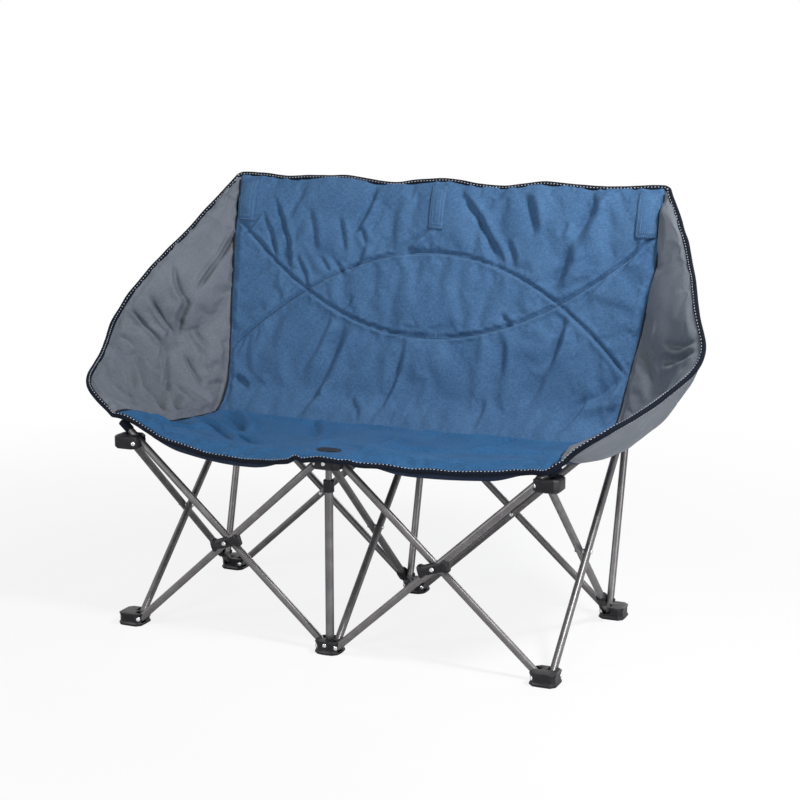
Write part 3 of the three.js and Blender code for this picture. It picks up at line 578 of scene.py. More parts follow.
def lined(middle: Array, face: Array, depth: Array, pad: float) -> Array:
    """The other side of a padded panel.

    Args:
        middle: the panel's middle surface.
        face: its side towards the sitter.
        depth: how far behind the middle its other side lies.
        pad: the least padding between the two, kept where a deep crease pushes the other side out.

    Returns:
        Points of the other side.
    """
    normal = grid_normals(middle)
    reach = np.sum((face - middle) * normal, axis=-1)
    return middle - normal * np.maximum(depth, pad - reach)[..., None]


def ripple(points: Array, scale: float) -> Array:
    """Smooth unevenness from -1 to 1 over points, with the given scale per metre."""
    flat = points.reshape(-1, 3)
    return np.array([noise.noise(Vector(p) * scale) for p in flat]).reshape(points.shape[:-1])


def grid_quads(rows: int, columns: int, first: int = 0) -> list[tuple[int, int, int, int]]:
    """Faces of a grid whose points are stored row by row from index first.

    Args:
        rows: the grid's rows of points.
        columns: points in each row.
        first: index of the first point.

    Returns:
        The faces.
    """
    faces = []
    for j in range(rows - 1):
        for i in range(columns - 1):
            a = first + j * columns + i
            faces.append((a, a + 1, a + columns + 1, a + columns))
    return faces


def ring_quads(rings: int, sides: int, first: int = 0, closed: bool = False) -> list[tuple[int, ...]]:
    """Faces between rings of points, stored ring by ring.

    Args:
        rings: how many rings there are.
        sides: how many points each has.
        first: index of the first ring's first point.
        closed: whether the last ring joins the first.

    Returns:
        The faces.
    """
    faces = []
    for j in range(rings if closed else rings - 1):
        here = first + j * sides
        there = first + (j + 1) % rings * sides
        for i in range(sides):
            k = (i + 1) % sides
            faces.append((here + i, here + k, there + k, there + i))
    return faces


def rim_loop(rows: int, columns: int) -> list[int]:
    """Indices around a grid's edge, in order.

    Args:
        rows: the grid's rows of points.
        columns: points in each row.

    Returns:
        The indices, anticlockwise from the first point.
    """
    bottom = list(range(columns))
    right = [j * columns + columns - 1 for j in range(1, rows)]
    top = [(rows - 1) * columns + i for i in range(columns - 2, -1, -1)]
    left = [j * columns for j in range(rows - 2, 0, -1)]
    return bottom + right + top + left


def mesh_object(name: str, points: Array, faces: Sequence, flat: Array | None = None) -> bpy.types.Object:
    """A smooth-shaded mesh object.

    Args:
        name: the piece's name.
        points: its vertices in the row frame.
        faces: its faces as index tuples.
        flat: a flat coordinate in metres for each vertex, for threads and ribs.

    Returns:
        The object, linked to the scene.
    """
    mesh = bpy.data.meshes.new(name)
    mesh.from_pydata([tuple(p) for p in points], [], faces)
    mesh.update()
    for polygon in mesh.polygons:
        polygon.use_smooth = True
    if flat is not None:
        layer = mesh.uv_layers.new(name="flat")
        corner = np.zeros(len(mesh.loops), int)
        mesh.loops.foreach_get("vertex_index", corner)
        layer.data.foreach_set("uv", np.asarray(flat, float)[corner].ravel())
    piece = bpy.data.objects.new(name, mesh)
    bpy.context.scene.collection.objects.link(piece)
    return piece


def bake_modifiers(piece: bpy.types.Object) -> None:
    """Replaces a piece's mesh by its mesh with all modifiers applied.

    Args:
        piece: the piece, which keeps its place.
    """
    graph = bpy.context.evaluated_depsgraph_get()
    made = bpy.data.meshes.new_from_object(piece.evaluated_get(graph))
    piece.modifiers.clear()
    piece.data = made
    for polygon in made.polygons:
        polygon.use_smooth = True


def report(piece: bpy.types.Object, body: str) -> bpy.types.Object:
    """Lets a finished piece ride its body and logs it.

    Args:
        piece: the piece.
        body: the body that carries it.

    Returns:
        The same piece.
    """
    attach(piece, body)
    LOG.info("%s on %s, %d faces", piece.name, body, len(piece.data.polygons))
    return piece


def draw_in(piece: bpy.types.Object, body: str) -> None:
    """Lets a finished piece ride its body, on its own copy of its mesh."""
    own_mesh(report(piece, body))


@dataclass(frozen=True)
class Fold:
    """One crease in cloth: a valley with a ridge beside it, in the panel's own coordinates."""

    start: Span
    end: Span
    width: float
    depth: float
    bow: float = 0.05
    valley_fall: float = 1.2
    valley_power: float = 1.4
    ridge: float = 0.7
    ridge_place: float = 1.4
    fade_in: Span = (-0.15, 0.3)
    fade_out: Span = (0.7, 1.15)

    def height(self, first: Array, second: Array) -> Array:
        """The crease's height over a panel.

        Args:
            first: the points' first panel coordinate in metres.
            second: their second one.

        Returns:
            Heights in metres, positive towards the sitter.
        """
        along = np.array(self.end) - np.array(self.start)
        length = float(np.hypot(*along))
        ux, uz = along / length
        dx = first - self.start[0]
        dz = second - self.start[1]
        share = (dx * ux + dz * uz) / length
        bow = self.bow * length * np.sin(math.pi * np.clip(share, 0.0, 1.0))
        away = (dz * ux - dx * uz - bow) / self.width
        taper = smoothstep(*self.fade_in, share) * (1.0 - smoothstep(*self.fade_out, share))
        valley = np.exp(-self.valley_fall * np.abs(away) ** self.valley_power)
        return self.depth * taper * (self.ridge * np.exp(-((away - self.ridge_place) ** 2)) - valley)


@dataclass(frozen=True)
class Crumple:
    """How a sewn face of cloth is simulated: slack cloth between its seams."""

    slack: float
    pressure: float
    cap: float
    frames: int = 22
    quality: int = 6
    mass: float = 0.25
    stretching: float = 18.0
    shearing: float = 8.0
    bending: float = 0.6
    air: float = 2.0
    unevenness: float = 0.0015
    uneven_scale: float = 30.0

    def settle(self, points: Array, pinned: Array) -> Array:
        """Lets slack cloth buckle between pinned seams.

        Args:
            points: a grid of points on the panel's face.
            pinned: pin weights from 0 to 1 over the grid.

        Returns:
            The settled grid, no point moved further than cap.
        """
        rows, columns = points.shape[:2]
        uneven = self.unevenness * (1.0 - pinned) * ripple(points, self.uneven_scale)
        start = points + grid_normals(points) * uneven[..., None]
        cloth = mesh_object("settling_cloth", start.reshape(-1, 3), grid_quads(rows, columns))
        group = cloth.vertex_groups.new(name="pins")
        for index, weight in enumerate(pinned.ravel()):
            group.add([index], float(weight), "REPLACE")
        self._add_cloth(cloth)
        scene = bpy.context.scene
        for number in range(1, self.frames + 1):
            scene.frame_set(number)
        graph = bpy.context.evaluated_depsgraph_get()
        settled = cloth.evaluated_get(graph).data
        moved = np.zeros(len(settled.vertices) * 3)
        settled.vertices.foreach_get("co", moved)
        scene.frame_set(1)
        bpy.data.objects.remove(cloth)
        shift = moved.reshape(points.shape) - points
        size = np.linalg.norm(shift, axis=-1, keepdims=True)
        limit = self.cap * np.tanh(size / self.cap)
        return points + shift * limit / np.maximum(size, TINY)

    def _add_cloth(self, cloth: bpy.types.Object) -> None:
        """Adds the cloth modifier and its settings.

        Args:
            cloth: the sheet, with its pins in a vertex group.
        """
        modifier = cloth.modifiers.new("Cloth", "CLOTH")
        settings = modifier.settings
        settings.quality = self.quality
        settings.mass = self.mass
        settings.tension_stiffness = self.stretching
        settings.compression_stiffness = self.stretching
        settings.shear_stiffness = self.shearing
        settings.bending_stiffness = self.bending
        settings.air_damping = self.air
        settings.vertex_group_mass = "pins"
        settings.pin_stiffness = 1.0
        settings.shrink_min = -self.slack
        settings.use_pressure = True
        settings.uniform_pressure_force = self.pressure
        settings.effector_weights.gravity = 0.0
        modifier.point_cache.frame_end = self.frames


def padded_panel(name: str, face: Array, rear: Array, rim_share: float = 0.35) -> bpy.types.Object:
    """A closed padded panel between a face grid and a rear grid, with a rounded rim.

    Args:
        name: the piece's name.
        face: points of the side towards the sitter.
        rear: points of the other side, row by row alike, which takes the second material.
        rim_share: how far the rim stands out, as a share of the padding.

    Returns:
        The panel.
    """
    rows, columns = face.shape[:2]
    count = rows * columns
    loop = rim_loop(rows, columns)
    front = face.reshape(-1, 3)
    back = rear.reshape(-1, 3)
    centre = 0.5 * (front + back)
    inner = centre.reshape(face.shape)
    outward = np.zeros_like(inner)
    outward[0] += inner[0] - inner[1]
    outward[-1] += inner[-1] - inner[-2]
    outward[:, 0] += inner[:, 0] - inner[:, 1]
    outward[:, -1] += inner[:, -1] - inner[:, -2]
    reach = rim_share * np.linalg.norm(front - back, axis=1)[loop, None]
    rim = centre[loop] + unit(outward.reshape(-1, 3)[loop]) * reach
    points = np.concatenate([front, back, rim])
    flat = grid_flat(face).reshape(-1, 2)
    flats = np.concatenate([flat, flat, flat[loop]])
    faces = grid_quads(rows, columns)
    seen = len(faces)
    faces += [tuple(reversed(quad)) for quad in grid_quads(rows, columns, count)]
    for here, index in enumerate(loop):
        there = (here + 1) % len(loop)
        following = loop[there]
        faces.append((following, index, 2 * count + here, 2 * count + there))
        faces.append((2 * count + there, 2 * count + here, count + index, count + following))
    panel = mesh_object(name, points, faces, flats)
    for polygon in panel.data.polygons[seen:]:
        polygon.material_index = 1
    return panel


def resample(path: Array, step: float) -> Array:
    """A path with points about one step apart.

    Args:
        path: the path's points.
        step: the distance in metres.

    Returns:
        Points evenly along the path.
    """
    run = run_along(path)
    places = np.linspace(0.0, run[-1], max(int(run[-1] / step), 2) + 1)
    return np.stack([np.interp(places, run, path[:, k]) for k in range(3)], axis=1)


def squared(path: Array, facing: Array) -> tuple[Array, Array]:
    """A path's directions.

    Args:
        path: its points.
        facing: about where the side of a piece along it looks.

    Returns:
        The tangents, and the facing direction squared to each of them.
    """
    tangent = unit(np.gradient(path, axis=0))
    return tangent, unit(facing - tangent * np.sum(facing * tangent, axis=1, keepdims=True))


def sweep(name: str, path: Array, facing: Vec3, section: Array) -> bpy.types.Object:
    """A closed section drawn along a path, with its ends capped.

    Args:
        name: the piece's name.
        path: points along the middle of the piece.
        facing: the direction that the section's first axis takes.
        section: points of the section as (first axis, second axis) in metres.

    Returns:
        The swept piece.
    """
    tangent, first = squared(path, np.array(facing))
    second = np.cross(tangent, first)
    reach = section[None, :, :1] * first[:, None, :]
    rings = path[:, None, :] + reach + section[None, :, 1:] * second[:, None, :]
    stations, sides = rings.shape[:2]
    faces = ring_quads(stations, sides)
    faces.append(tuple(range(sides - 1, -1, -1)))
    faces.append(tuple((stations - 1) * sides + i for i in range(sides)))
    pair = np.broadcast_arrays(run_along(path)[:, None], run_along(section)[None, :])
    return mesh_object(name, rings.reshape(-1, 3), faces, np.stack(pair, axis=-1).reshape(-1, 2))


def rounded_section(half_first: float, half_second: float, sides: int = 14, power: float = 3.0) -> Array:
    """A rounded rectangle as a closed section.

    Args:
        half_first: half its size along the first axis.
        half_second: half its size along the second axis.
        sides: how many points it has.
        power: how square it is, from 2 for an ellipse.

    Returns:
        The section's points.
    """
    angles = 2 * math.pi * (np.arange(sides) + 0.5) / sides
    c, s = np.cos(angles), np.sin(angles)
    reach = (np.abs(c) ** power + np.abs(s) ** power) ** (-1.0 / power)
    return np.stack([half_first * reach * c, half_second * reach * s], axis=1)


@dataclass(frozen=True)
class StitchRow:
    """A row of sewing stitches lying on cloth."""

    pitch: float = 0.0068
    length: float = 0.0046
    radius: float = 0.0007
    slant: float = 0.0
    sides: int = 5

    def sew(self, name: str, lines: Iterable[tuple[Array, Array]]) -> bpy.types.Object:
        """Sews along lines.

        Args:
            name: the piece's name.
            lines: pairs of a path and the directions that face away from the cloth.

        Returns:
            One mesh that holds every stitch.
        """
        points: list[Array] = []
        faces: list[tuple[int, ...]] = []
        for path, away in lines:
            self._sew_line(path, away, points, faces)
        return mesh_object(name, np.concatenate(points), faces)

    def _sew_line(self, path: Array, away: Array, points: list[Array], faces: list) -> None:
        """Adds one line's stitches to the growing mesh.

        Args:
            path: the line.
            away: directions away from the cloth along it.
            points: the mesh's vertices so far, one block for each stitch.
            faces: the mesh's faces so far.
        """
        places = resample(path, self.pitch)
        nearest = np.linspace(0, len(path) - 1, len(places)).round().astype(int)
        tangent = unit(np.gradient(places, axis=0))
        outward = unit(away[nearest])
        across = np.cross(tangent, outward)
        angles = 2 * math.pi * np.arange(self.sides) / self.sides
        for index, place in enumerate(places):
            sign = 1.0 if index % 2 else -1.0
            along = unit(tangent[index] + sign * self.slant * across[index])
            side = np.cross(along, outward[index])
            ring = [
                place + self.radius * (math.cos(a) * side + math.sin(a) * outward[index])
                for a in angles
            ]
            tips = [place - 0.5 * self.length * along, place + 0.5 * self.length * along]
            start = sum(len(block) for block in points)
            points.append(np.array(tips + ring))
            for k in range(self.sides):
                here = start + 2 + k
                there = start + 2 + (k + 1) % self.sides
                faces.append((start, there, here))
                faces.append((start + 1, here, there))


def rounded_curve(points: Sequence[Array], shares: Array) -> Array:
    """A centripetal curve through a few points, the same rounding as the frame's arms.

    Args:
        points: the points that it passes.
        shares: places along it from 0 to 1.

    Returns:
        One point for each share.
    """
    knots = [np.asarray(p, float) for p in points]
    knots = [2 * knots[0] - knots[1], *knots, 2 * knots[-1] - knots[-2]]
    spans = len(points) - 1
    made = []
    for share in shares:
        place = min(max(share, 0.0), 1.0) * spans
        index = min(int(place), spans - 1)
        w = place - index
        p0, p1, p2, p3 = knots[index:index + 4]
        d0, d1, d2 = (np.linalg.norm(b - a) ** 0.5 for a, b in ((p0, p1), (p1, p2), (p2, p3)))
        start = ((p1 - p0) / d0 - (p2 - p0) / (d0 + d1) + (p2 - p1) / d1) * d1
        end = ((p2 - p1) / d1 - (p3 - p1) / (d1 + d2) + (p3 - p2) / d2) * d1
        cubic = (-3 * p1 + 3 * p2 - 2 * start - end) * w**2 + (2 * p1 - 2 * p2 + start + end) * w**3
        made.append(p1 + start * w + cubic)
    return np.array(made)


@dataclass(frozen=True)
class Tub:
    """The surfaces of the fabric tub, the middle of its padding, in metres."""

    front_y: float
    bay: float
    hub_top: float
    half_pad: float = 0.004
    seam_gap: float = 0.0008
    crease_y: float = 0.38
    crease_z: float = 0.396
    back_curl: float = 0.048
    back_curl_share: float = 0.14
    back_bow: float = 0.012
    back_top_y: float = 0.6206
    back_top_z: float = 0.946
    back_widening: float = 0.048
    back_full_share: float = 0.85
    back_ease: float = 1.5
    back_edge_sag: float = 0.012
    corner_half: float = 0.506
    corner_z: float = 0.47
    corner_run: float = 0.19
    corner_start_left: float = 0.83
    corner_start_right: float = 0.88
    edge_overhang: float = 0.022
    edge_bow: float = 0.012
    edge_sag_left: float = 0.031
    edge_sag_right: float = 0.015
    edge_sag_span: float = 0.87
    edge_flap: float = 0.007
    edge_droop: float = 0.003
    hub_half: float = 0.033
    block_half: float = 0.028
    hub_overhang: float = 0.018
    hub_overhang_run: float = 0.17
    drape_x: float = 0.485
    drape_width: float = 0.03
    drape_run: float = 0.05
    drape_ahead: float = 0.016
    drape_fall: float = 0.021
    seat_hinge_y: float = 0.024
    seat_split_y: float = 0.105
    seat_flat: float = 0.03
    seat_sag: float = 0.014
    seat_sag_power: int = 6
    seat_roll: float = 0.016
    seat_roll_run: float = 0.07
    seam_offset: float = 0.0029
    binding: float = 0.006
    knee: float = 14 / 25
    arm_belly: float = 0.03
    arm_ease: float = 0.12
    hub_gap: float = 0.0003
    hub_fade: Span = (1.25, 2.5)
    droop_end: float = 0.7
    corner_hold: float = 0.1
    flat_hub: float = 0.17
    flat_side: float = 0.02
    flat_fade: Span = (0.1, 0.4)
    seam_top: float = 0.985
    seam_marks: tuple[float, ...] = (0.0, 6 / 11, 8 / 11, 10 / 11, 1.0)
    arm_full_top: float = 0.6
    arm_full_front: float = 0.3
    arm_outline: tuple[Vec3, ...] = (
        (0.128, 0.14, 0.433), (0.189, -0.002, 0.316), (0.22, -0.072, 0.233), (0.178, -0.201, 0.172),
        (0.112, -0.362, 0.125))

    @classmethod
    def from_frame(cls) -> "Tub":
        """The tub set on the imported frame's feet and hub.

        Returns:
            The tub.
        """
        low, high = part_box("foot_front_centre")
        side_low, side_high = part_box("foot_front_right")
        return cls((low.y + high.y) / 2, (side_low.x + side_high.x) / 2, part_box("front_hub")[1].z)

    def back_half(self, t: Array | float) -> Array | float:
        """Half the back's width at a share of its height."""
        share = np.sin(0.5 * math.pi * np.minimum(np.asarray(t) / self.back_full_share, 1.0))
        return self.bay + self.back_widening * share**self.back_ease

    def back_point(self, across: Array, t: Array) -> Array:
        """Points of the back by share of width, -1 to 1, and share of height.

        Args:
            across: shares of half the width, from -1 to 1.
            t: shares of the height, from 0 at the crease to 1.

        Returns:
            The points.
        """
        wave = np.sin(2 * math.pi * np.abs(across)) ** 2 * np.where(np.abs(across) < 0.5, 1.0, 0.5)
        curl = self.back_curl * (1.0 - np.minimum(t / self.back_curl_share, 1.0)) ** 2
        lean = blend(self.crease_y + self.back_curl, self.back_top_y, t)
        y = self.front_y + lean + self.back_bow * np.sin(math.pi * t) - curl
        z = blend(self.crease_z, self.back_top_z, t) - self.back_edge_sag * wave * t**3
        return np.stack(np.broadcast_arrays(across * self.back_half(t), y, z), axis=-1)

    def edge_line_y(self, x: Array) -> Array:
        """The seat's front edge without the flap over the hub, measured from the front feet."""
        share = np.minimum(np.abs(x) / self.corner_half, 1.0)
        return self.edge_bow * (share + np.sin(math.pi * share)) - self.edge_overhang

    def edge_y(self, x: Array) -> Array:
        """The seat's front edge, measured from the front feet."""
        over_hub = 1.0 - smoothstep(self.hub_half, self.hub_overhang_run, np.abs(x))
        return self.edge_line_y(x) - self.hub_overhang * over_hub

    @property
    def hub_seat_z(self) -> float:
        """The seat's middle surface over the hub."""
        return self.hub_top + self.hub_gap + self.half_pad

    @property
    def rear_edge_y(self) -> float:
        """Where the seat meets the back, measured from the front feet."""
        return self.crease_y - 0.5 * self.half_pad - self.seam_gap

    def seat_half(self, y: Array) -> Array:
        """Half the seat's width at a depth."""
        return blend(self.corner_half, self.bay, smoothstep(0.0, self.seat_split_y, y))

    def seat_z(self, x: Array, y: Array) -> Array:
        """Height of the seat's middle surface.

        Args:
            x: places across the seat.
            y: depths behind the front feet.

        Returns:
            The heights.
        """
        side = np.abs(x) / self.bay
        edge = self.edge_line_y(x)
        run = np.clip((y - edge) / (self.rear_edge_y - edge), 0.0, 1.0)
        edge_sag = np.where(x < 0.0, self.edge_sag_left, self.edge_sag_right)
        beside_hub = smoothstep(*(share * self.hub_half for share in self.hub_fade), np.abs(x))
        over_block = smoothstep(-self.block_half - 2 * self.half_pad, -self.block_half - self.half_pad, y)
        dip = edge_sag * np.sin(math.pi * np.minimum(side / self.edge_sag_span, 1.0)) * (1.0 - run)
        dip = dip * blend(1.0, beside_hub, over_block)
        droop = self.edge_droop * (1.0 - smoothstep(0.0, self.edge_flap, y - self.edge_y(x)))
        droop = droop * (1.0 - smoothstep(self.droop_end, self.edge_sag_span, side))
        start = np.where(x < 0.0, self.corner_start_left, self.corner_start_right)
        corner = smoothstep(start, self.corner_half / self.bay, side)
        corner = corner * (1.0 - smoothstep(self.corner_hold, 1.0, y / self.corner_run))
        rear = self.crease_z + self.half_pad * side**2
        sag = self.seat_sag * np.sin(math.pi * run) * (1.0 - side**self.seat_sag_power)
        sag = sag * smoothstep(self.seat_flat, self.seat_split_y, y)
        fall_start = blend(self.flat_hub, self.flat_side, smoothstep(*self.flat_fade, side))
        fall = blend(self.hub_seat_z, rear, smoothstep(fall_start, 1.0, run))
        return fall - dip - droop + (self.corner_z - self.hub_seat_z) * corner - sag

    def draped(self, points: Array) -> Array:
        """Points with the right front corner hanging over the tip of its tube.

        Args:
            points: points of the seat, an arm or the binding.

        Returns:
            The points, moved near that corner.
        """
        x = points[..., 0]
        behind = points[..., 1] - self.front_y - self.edge_y(x)
        weight = np.exp(-(((x - self.drape_x) / self.drape_width) ** 2))
        weight = weight * (1.0 - smoothstep(0.0, self.drape_run, behind))
        return points - weight[..., None] * np.array([0.0, self.drape_ahead, self.drape_fall])

    def seat_point(self, across: Array, y: Array) -> Array:
        """Points of the seat by share of width and depth behind the front feet.

        Args:
            across: shares of half the width, from -1 to 1.
            y: depths behind the front feet.

        Returns:
            The points.
        """
        x = across * self.seat_half(y)
        z = self.seat_z(x, y)
        return np.stack(np.broadcast_arrays(x, self.front_y + y, z), axis=-1)

    def arm_edge(self, shares: Array) -> Array:
        """The right arm's bound outer edge, from the back's top to the front corner.

        Args:
            shares: places along it from 0 to 1.

        Returns:
            One point for each share.
        """
        reach = self.seam_offset + self.binding
        half = float(self.back_half(1.0))
        top = (half + reach, self.back_top_y - self.half_pad, self.back_top_z - self.half_pad)
        corner = (self.corner_half + reach, -2 * self.half_pad, self.corner_z)
        root = np.array([self.bay, self.crease_y, self.crease_z])
        middle = [root + np.array(offset) for offset in self.arm_outline]
        edge = rounded_curve([np.array(top), *middle, np.array(corner)], shares)
        return edge + np.array([0.0, self.front_y, 0.0])

    def arm_seam(self, shares: Array) -> Array:
        """The right arm's sewn edge, down the back and along the seat.

        Args:
            shares: places along it from 0 to 1.

        Returns:
            One point for each share.
        """
        t = blend(self.seam_top, 0.0, np.minimum(shares / self.knee, 1.0))
        beside_back = self.back_point(np.ones_like(t), t)
        front = float(self.edge_y(np.array(self.corner_half)))
        ahead = np.clip((shares - self.knee) / (1.0 - self.knee), 0.0, 1.0)
        behind_hinge = (self.rear_edge_y, self.seat_split_y, self.seat_hinge_y)
        y = np.interp(ahead, self.seam_marks, (*behind_hinge, front + self.edge_flap, front + self.half_pad))
        x = self.seat_half(y)
        beside_seat = np.stack([x, self.front_y + y, self.seat_z(x, y) + 0.5 * self.half_pad], axis=-1)
        seam = np.where((shares < self.knee)[:, None], beside_back, beside_seat)
        return seam + np.array([self.seam_offset, 0.0, 0.0])

    def arm_points(self, shares: Array, widths: Array) -> Array:
        """A grid over the right arm: rows across it, columns along it.

        Args:
            shares: places along the arm from 0 to 1.
            widths: places across it, from 0 at the seam to 1 at the edge.

        Returns:
            The grid.
        """
        seam = self.arm_seam(shares)
        chord = self.arm_edge(shares) - seam
        straight = seam[None] + chord[None] * widths[:, None, None]
        before, after = (np.clip(shares + step, 0.0, 1.0) for step in (-self.arm_ease, self.arm_ease))
        along = self.arm_seam(after) + self.arm_edge(after) - self.arm_seam(before) - self.arm_edge(before)
        outward = unit(np.cross(chord, 0.5 * along))
        fullness = smoothstep(0.0, self.arm_full_top, shares)
        fullness = fullness * smoothstep(0.0, self.arm_full_front, 1.0 - shares)
        belly = self.arm_belly * np.sin(math.pi * widths)
        return straight + outward[None] * (belly[:, None] * fullness[None, :])[..., None]


@dataclass
class BackPanel:
    """The padded back: quilted, creased and bound at the top."""

    tub: Tub
    finishes: Finishes
    tree: BVHTree | None = None
    columns: int = 150
    rows: int = 84
    crown: float = 0.007
    side_ease: float = 0.045
    end_ease: float = 0.055
    edge_pin: float = 0.02
    seam_pin: float = 0.006
    arch_top: float = 0.387
    arch_drop: float = 0.232
    smile_low: float = 0.198
    smile_rise: float = 0.211
    channel: float = 0.0045
    seam_pull: float = 0.003
    seam_reach: float = 0.0022
    pucker: float = 0.0024
    pucker_reach: float = 0.03
    pucker_start: float = 0.006
    pucker_scale: float = 55.0
    pucker_stretch: Vec3 = (1.0, 0.3, 0.3)
    loose: float = 0.002
    loose_scale: float = 17.0
    rear_slack: float = 0.002
    rear_scale: float = 9.0
    seam_half: float = 0.475
    seam_points: int = 220
    crumple: Crumple = Crumple(slack=0.022, pressure=0.25, cap=0.009)
    # First row: a continuous dark thread, painted shade along each seam's groove.
    seam_rows: tuple[tuple[str, float, StitchRow, str], ...] = (
        ("thread", 0.0, StitchRow(pitch=0.005, length=0.0056, radius=0.0011), "dark_thread"),
        # Second row: light stitches below the seam, partly top stitching and partly a painted highlight of
        # the lit edge under it.
        ("stitches", 0.0045, StitchRow(pitch=0.005, length=0.0036, radius=0.0007), "blue_thread"))
    body: str = "back_cover"
    folds: tuple[Fold, ...] = (
        Fold((-0.460, 0.850), (-0.500, 0.805), 0.006, 0.006),
        Fold((-0.450, 0.850), (-0.405, 0.740), 0.007, 0.007),
        Fold((-0.425, 0.885), (-0.360, 0.725), 0.008, 0.010),
        Fold((-0.350, 0.760), (-0.310, 0.680), 0.007, 0.008),
        Fold((-0.475, 0.805), (-0.420, 0.755), 0.006, 0.006),
        Fold((-0.330, 0.865), (-0.300, 0.770), 0.011, 0.007),
        Fold((-0.165, 0.925), (-0.210, 0.815), 0.010, 0.011),
        Fold((-0.250, 0.850), (-0.225, 0.770), 0.009, 0.007),
        Fold((-0.195, 0.835), (-0.175, 0.795), 0.008, 0.007),
        Fold((-0.175, 0.795), (-0.200, 0.735), 0.008, 0.007),
        Fold((-0.005, 0.845), (-0.140, 0.765), 0.009, 0.010),
        Fold((-0.290, 0.760), (-0.260, 0.725), 0.007, 0.006),
        Fold((-0.250, 0.750), (-0.220, 0.715), 0.007, 0.006),
        Fold((-0.190, 0.670), (-0.215, 0.645), 0.006, 0.006),
        Fold((-0.205, 0.615), (-0.280, 0.395), 0.016, 0.016),
        Fold((-0.245, 0.630), (-0.295, 0.505), 0.011, 0.007),
        Fold((-0.045, 0.575), (-0.095, 0.395), 0.010, 0.011),
        Fold((-0.155, 0.445), (-0.110, 0.395), 0.008, 0.008),
        Fold((-0.460, 0.565), (-0.475, 0.525), 0.006, 0.006),
        Fold((-0.470, 0.475), (-0.425, 0.450), 0.010, 0.011),
        Fold((0.050, 0.915), (0.160, 0.765), 0.010, 0.014),
        Fold((0.140, 0.815), (0.175, 0.760), 0.008, 0.007),
        Fold((0.175, 0.815), (0.200, 0.765), 0.009, 0.006),
        Fold((0.205, 0.920), (0.240, 0.830), 0.016, 0.013),
        Fold((0.325, 0.815), (0.290, 0.720), 0.018, 0.018),
        Fold((0.370, 0.935), (0.335, 0.825), 0.018, 0.020),
        Fold((0.315, 0.860), (0.300, 0.835), 0.009, 0.008),
        Fold((0.485, 0.835), (0.435, 0.745), 0.007, 0.008),
        Fold((0.420, 0.760), (0.350, 0.680), 0.007, 0.008),
        Fold((0.180, 0.655), (0.210, 0.625), 0.007, 0.006),
        Fold((0.330, 0.655), (0.305, 0.545), 0.012, 0.017),
        Fold((0.305, 0.545), (0.265, 0.465), 0.014, 0.008),
        Fold((0.195, 0.600), (0.200, 0.525), 0.011, 0.007),
        Fold((0.165, 0.475), (0.155, 0.395), 0.010, 0.008),
        Fold((0.400, 0.490), (0.360, 0.420), 0.009, 0.010),
        Fold((0.490, 0.545), (0.385, 0.475), 0.015, 0.014),
        Fold((0.490, 0.480), (0.430, 0.420), 0.015, 0.017),
    )

    def seam_distance(self, points: Array) -> Array:
        """Distance from the nearer quilting seam.

        Args:
            points: points of the back.

        Returns:
            The distances in metres.
        """
        share = points[..., 0] / self.tub.bay
        height = points[..., 2] - self.tub.crease_z
        gaps = []
        for start, rise in ((self.arch_top, -self.arch_drop), (self.smile_low, self.smile_rise)):
            slope = 2 * rise * share / self.tub.bay
            gaps.append(np.abs(height - start - rise * share**2) / np.sqrt(1.0 + slope**2))
        return np.minimum(*gaps)

    def build(self) -> None:
        """The back's padded mesh, riding the back's cover."""
        across = np.linspace(-1.0, 1.0, self.columns + 1)[None, :]
        t = np.linspace(0.0, 1.0, self.rows + 1)[:, None]
        middle = self.tub.back_point(across, t)
        seam = self.seam_distance(middle)
        inside = smoothstep(0.0, self.side_ease, 1.0 - np.abs(across))
        edge = np.minimum(inside, smoothstep(0.0, self.end_ease, np.minimum(t, 1.0 - t)))
        plump = self.tub.half_pad + self.crown * edge * (1.0 - np.exp(-((seam / self.channel) ** 2)))
        face = middle + grid_normals(middle) * plump[..., None]
        sewn = np.exp(-((seam / self.seam_pin) ** 2))
        pinned = np.maximum(sewn, 1.0 - smoothstep(0.0, self.edge_pin, edge))
        face = refine_grid(self.crumple.settle(face, np.clip(pinned, 0.0, 1.0)))
        middle = refine_grid(middle)
        normal = grid_normals(middle)
        edge = np.clip(refine_grid(edge), 0.0, 1.0)
        face = face + normal * (self._relief(middle) * edge)[..., None]
        sag = self.rear_slack * ripple(middle, self.rear_scale) * edge
        rear = lined(middle, face, self.tub.half_pad + sag, self.tub.half_pad)
        quads = grid_quads(*face.shape[:2])
        self.tree = BVHTree.FromPolygons([Vector(p) for p in face.reshape(-1, 3)], quads)
        panel = padded_panel("back_panel_cloth", face, rear)
        self.finishes.dress(panel, self.finishes.blue, self.finishes.blue)
        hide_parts("back_panel")
        draw_in(panel, self.body)

    def _relief(self, middle: Array) -> Array:
        """Creases, the pull of the seams and the puckers beside them.

        Args:
            middle: a grid of points on the panel's middle surface.

        Returns:
            Heights in metres, positive towards the sitter.
        """
        seam = self.seam_distance(middle)
        creases = sum(fold.height(middle[..., 0], middle[..., 2]) for fold in self.folds)
        pull = self.seam_pull * np.exp(-seam / self.seam_reach)
        beside = np.exp(-((seam / self.pucker_reach) ** 2)) * smoothstep(0.0, self.pucker_start, seam)
        pucker = self.pucker * beside * ripple(middle * np.array(self.pucker_stretch), self.pucker_scale)
        return creases - pull + pucker + self.loose * ripple(middle, self.loose_scale)

    def on_face(self, x: Array, z: Array) -> Array:
        """Points of the face in front of places given by X and height.

        Args:
            x: places across the back.
            z: heights above the ground.

        Returns:
            One point of the back's face for each place.
        """
        found = []
        far_ahead = -2.0
        top_y = self.tub.front_y + self.tub.back_top_y
        for here_x, here_z in zip(np.ravel(x), np.ravel(z)):
            hit = self.tree.ray_cast(Vector((here_x, far_ahead, here_z)), Vector((0.0, 1.0, 0.0)))[0]
            if hit is None:
                hit = self.tree.find_nearest(Vector((here_x, top_y, here_z)))[0]
            found.append(hit)
        return np.array(found)

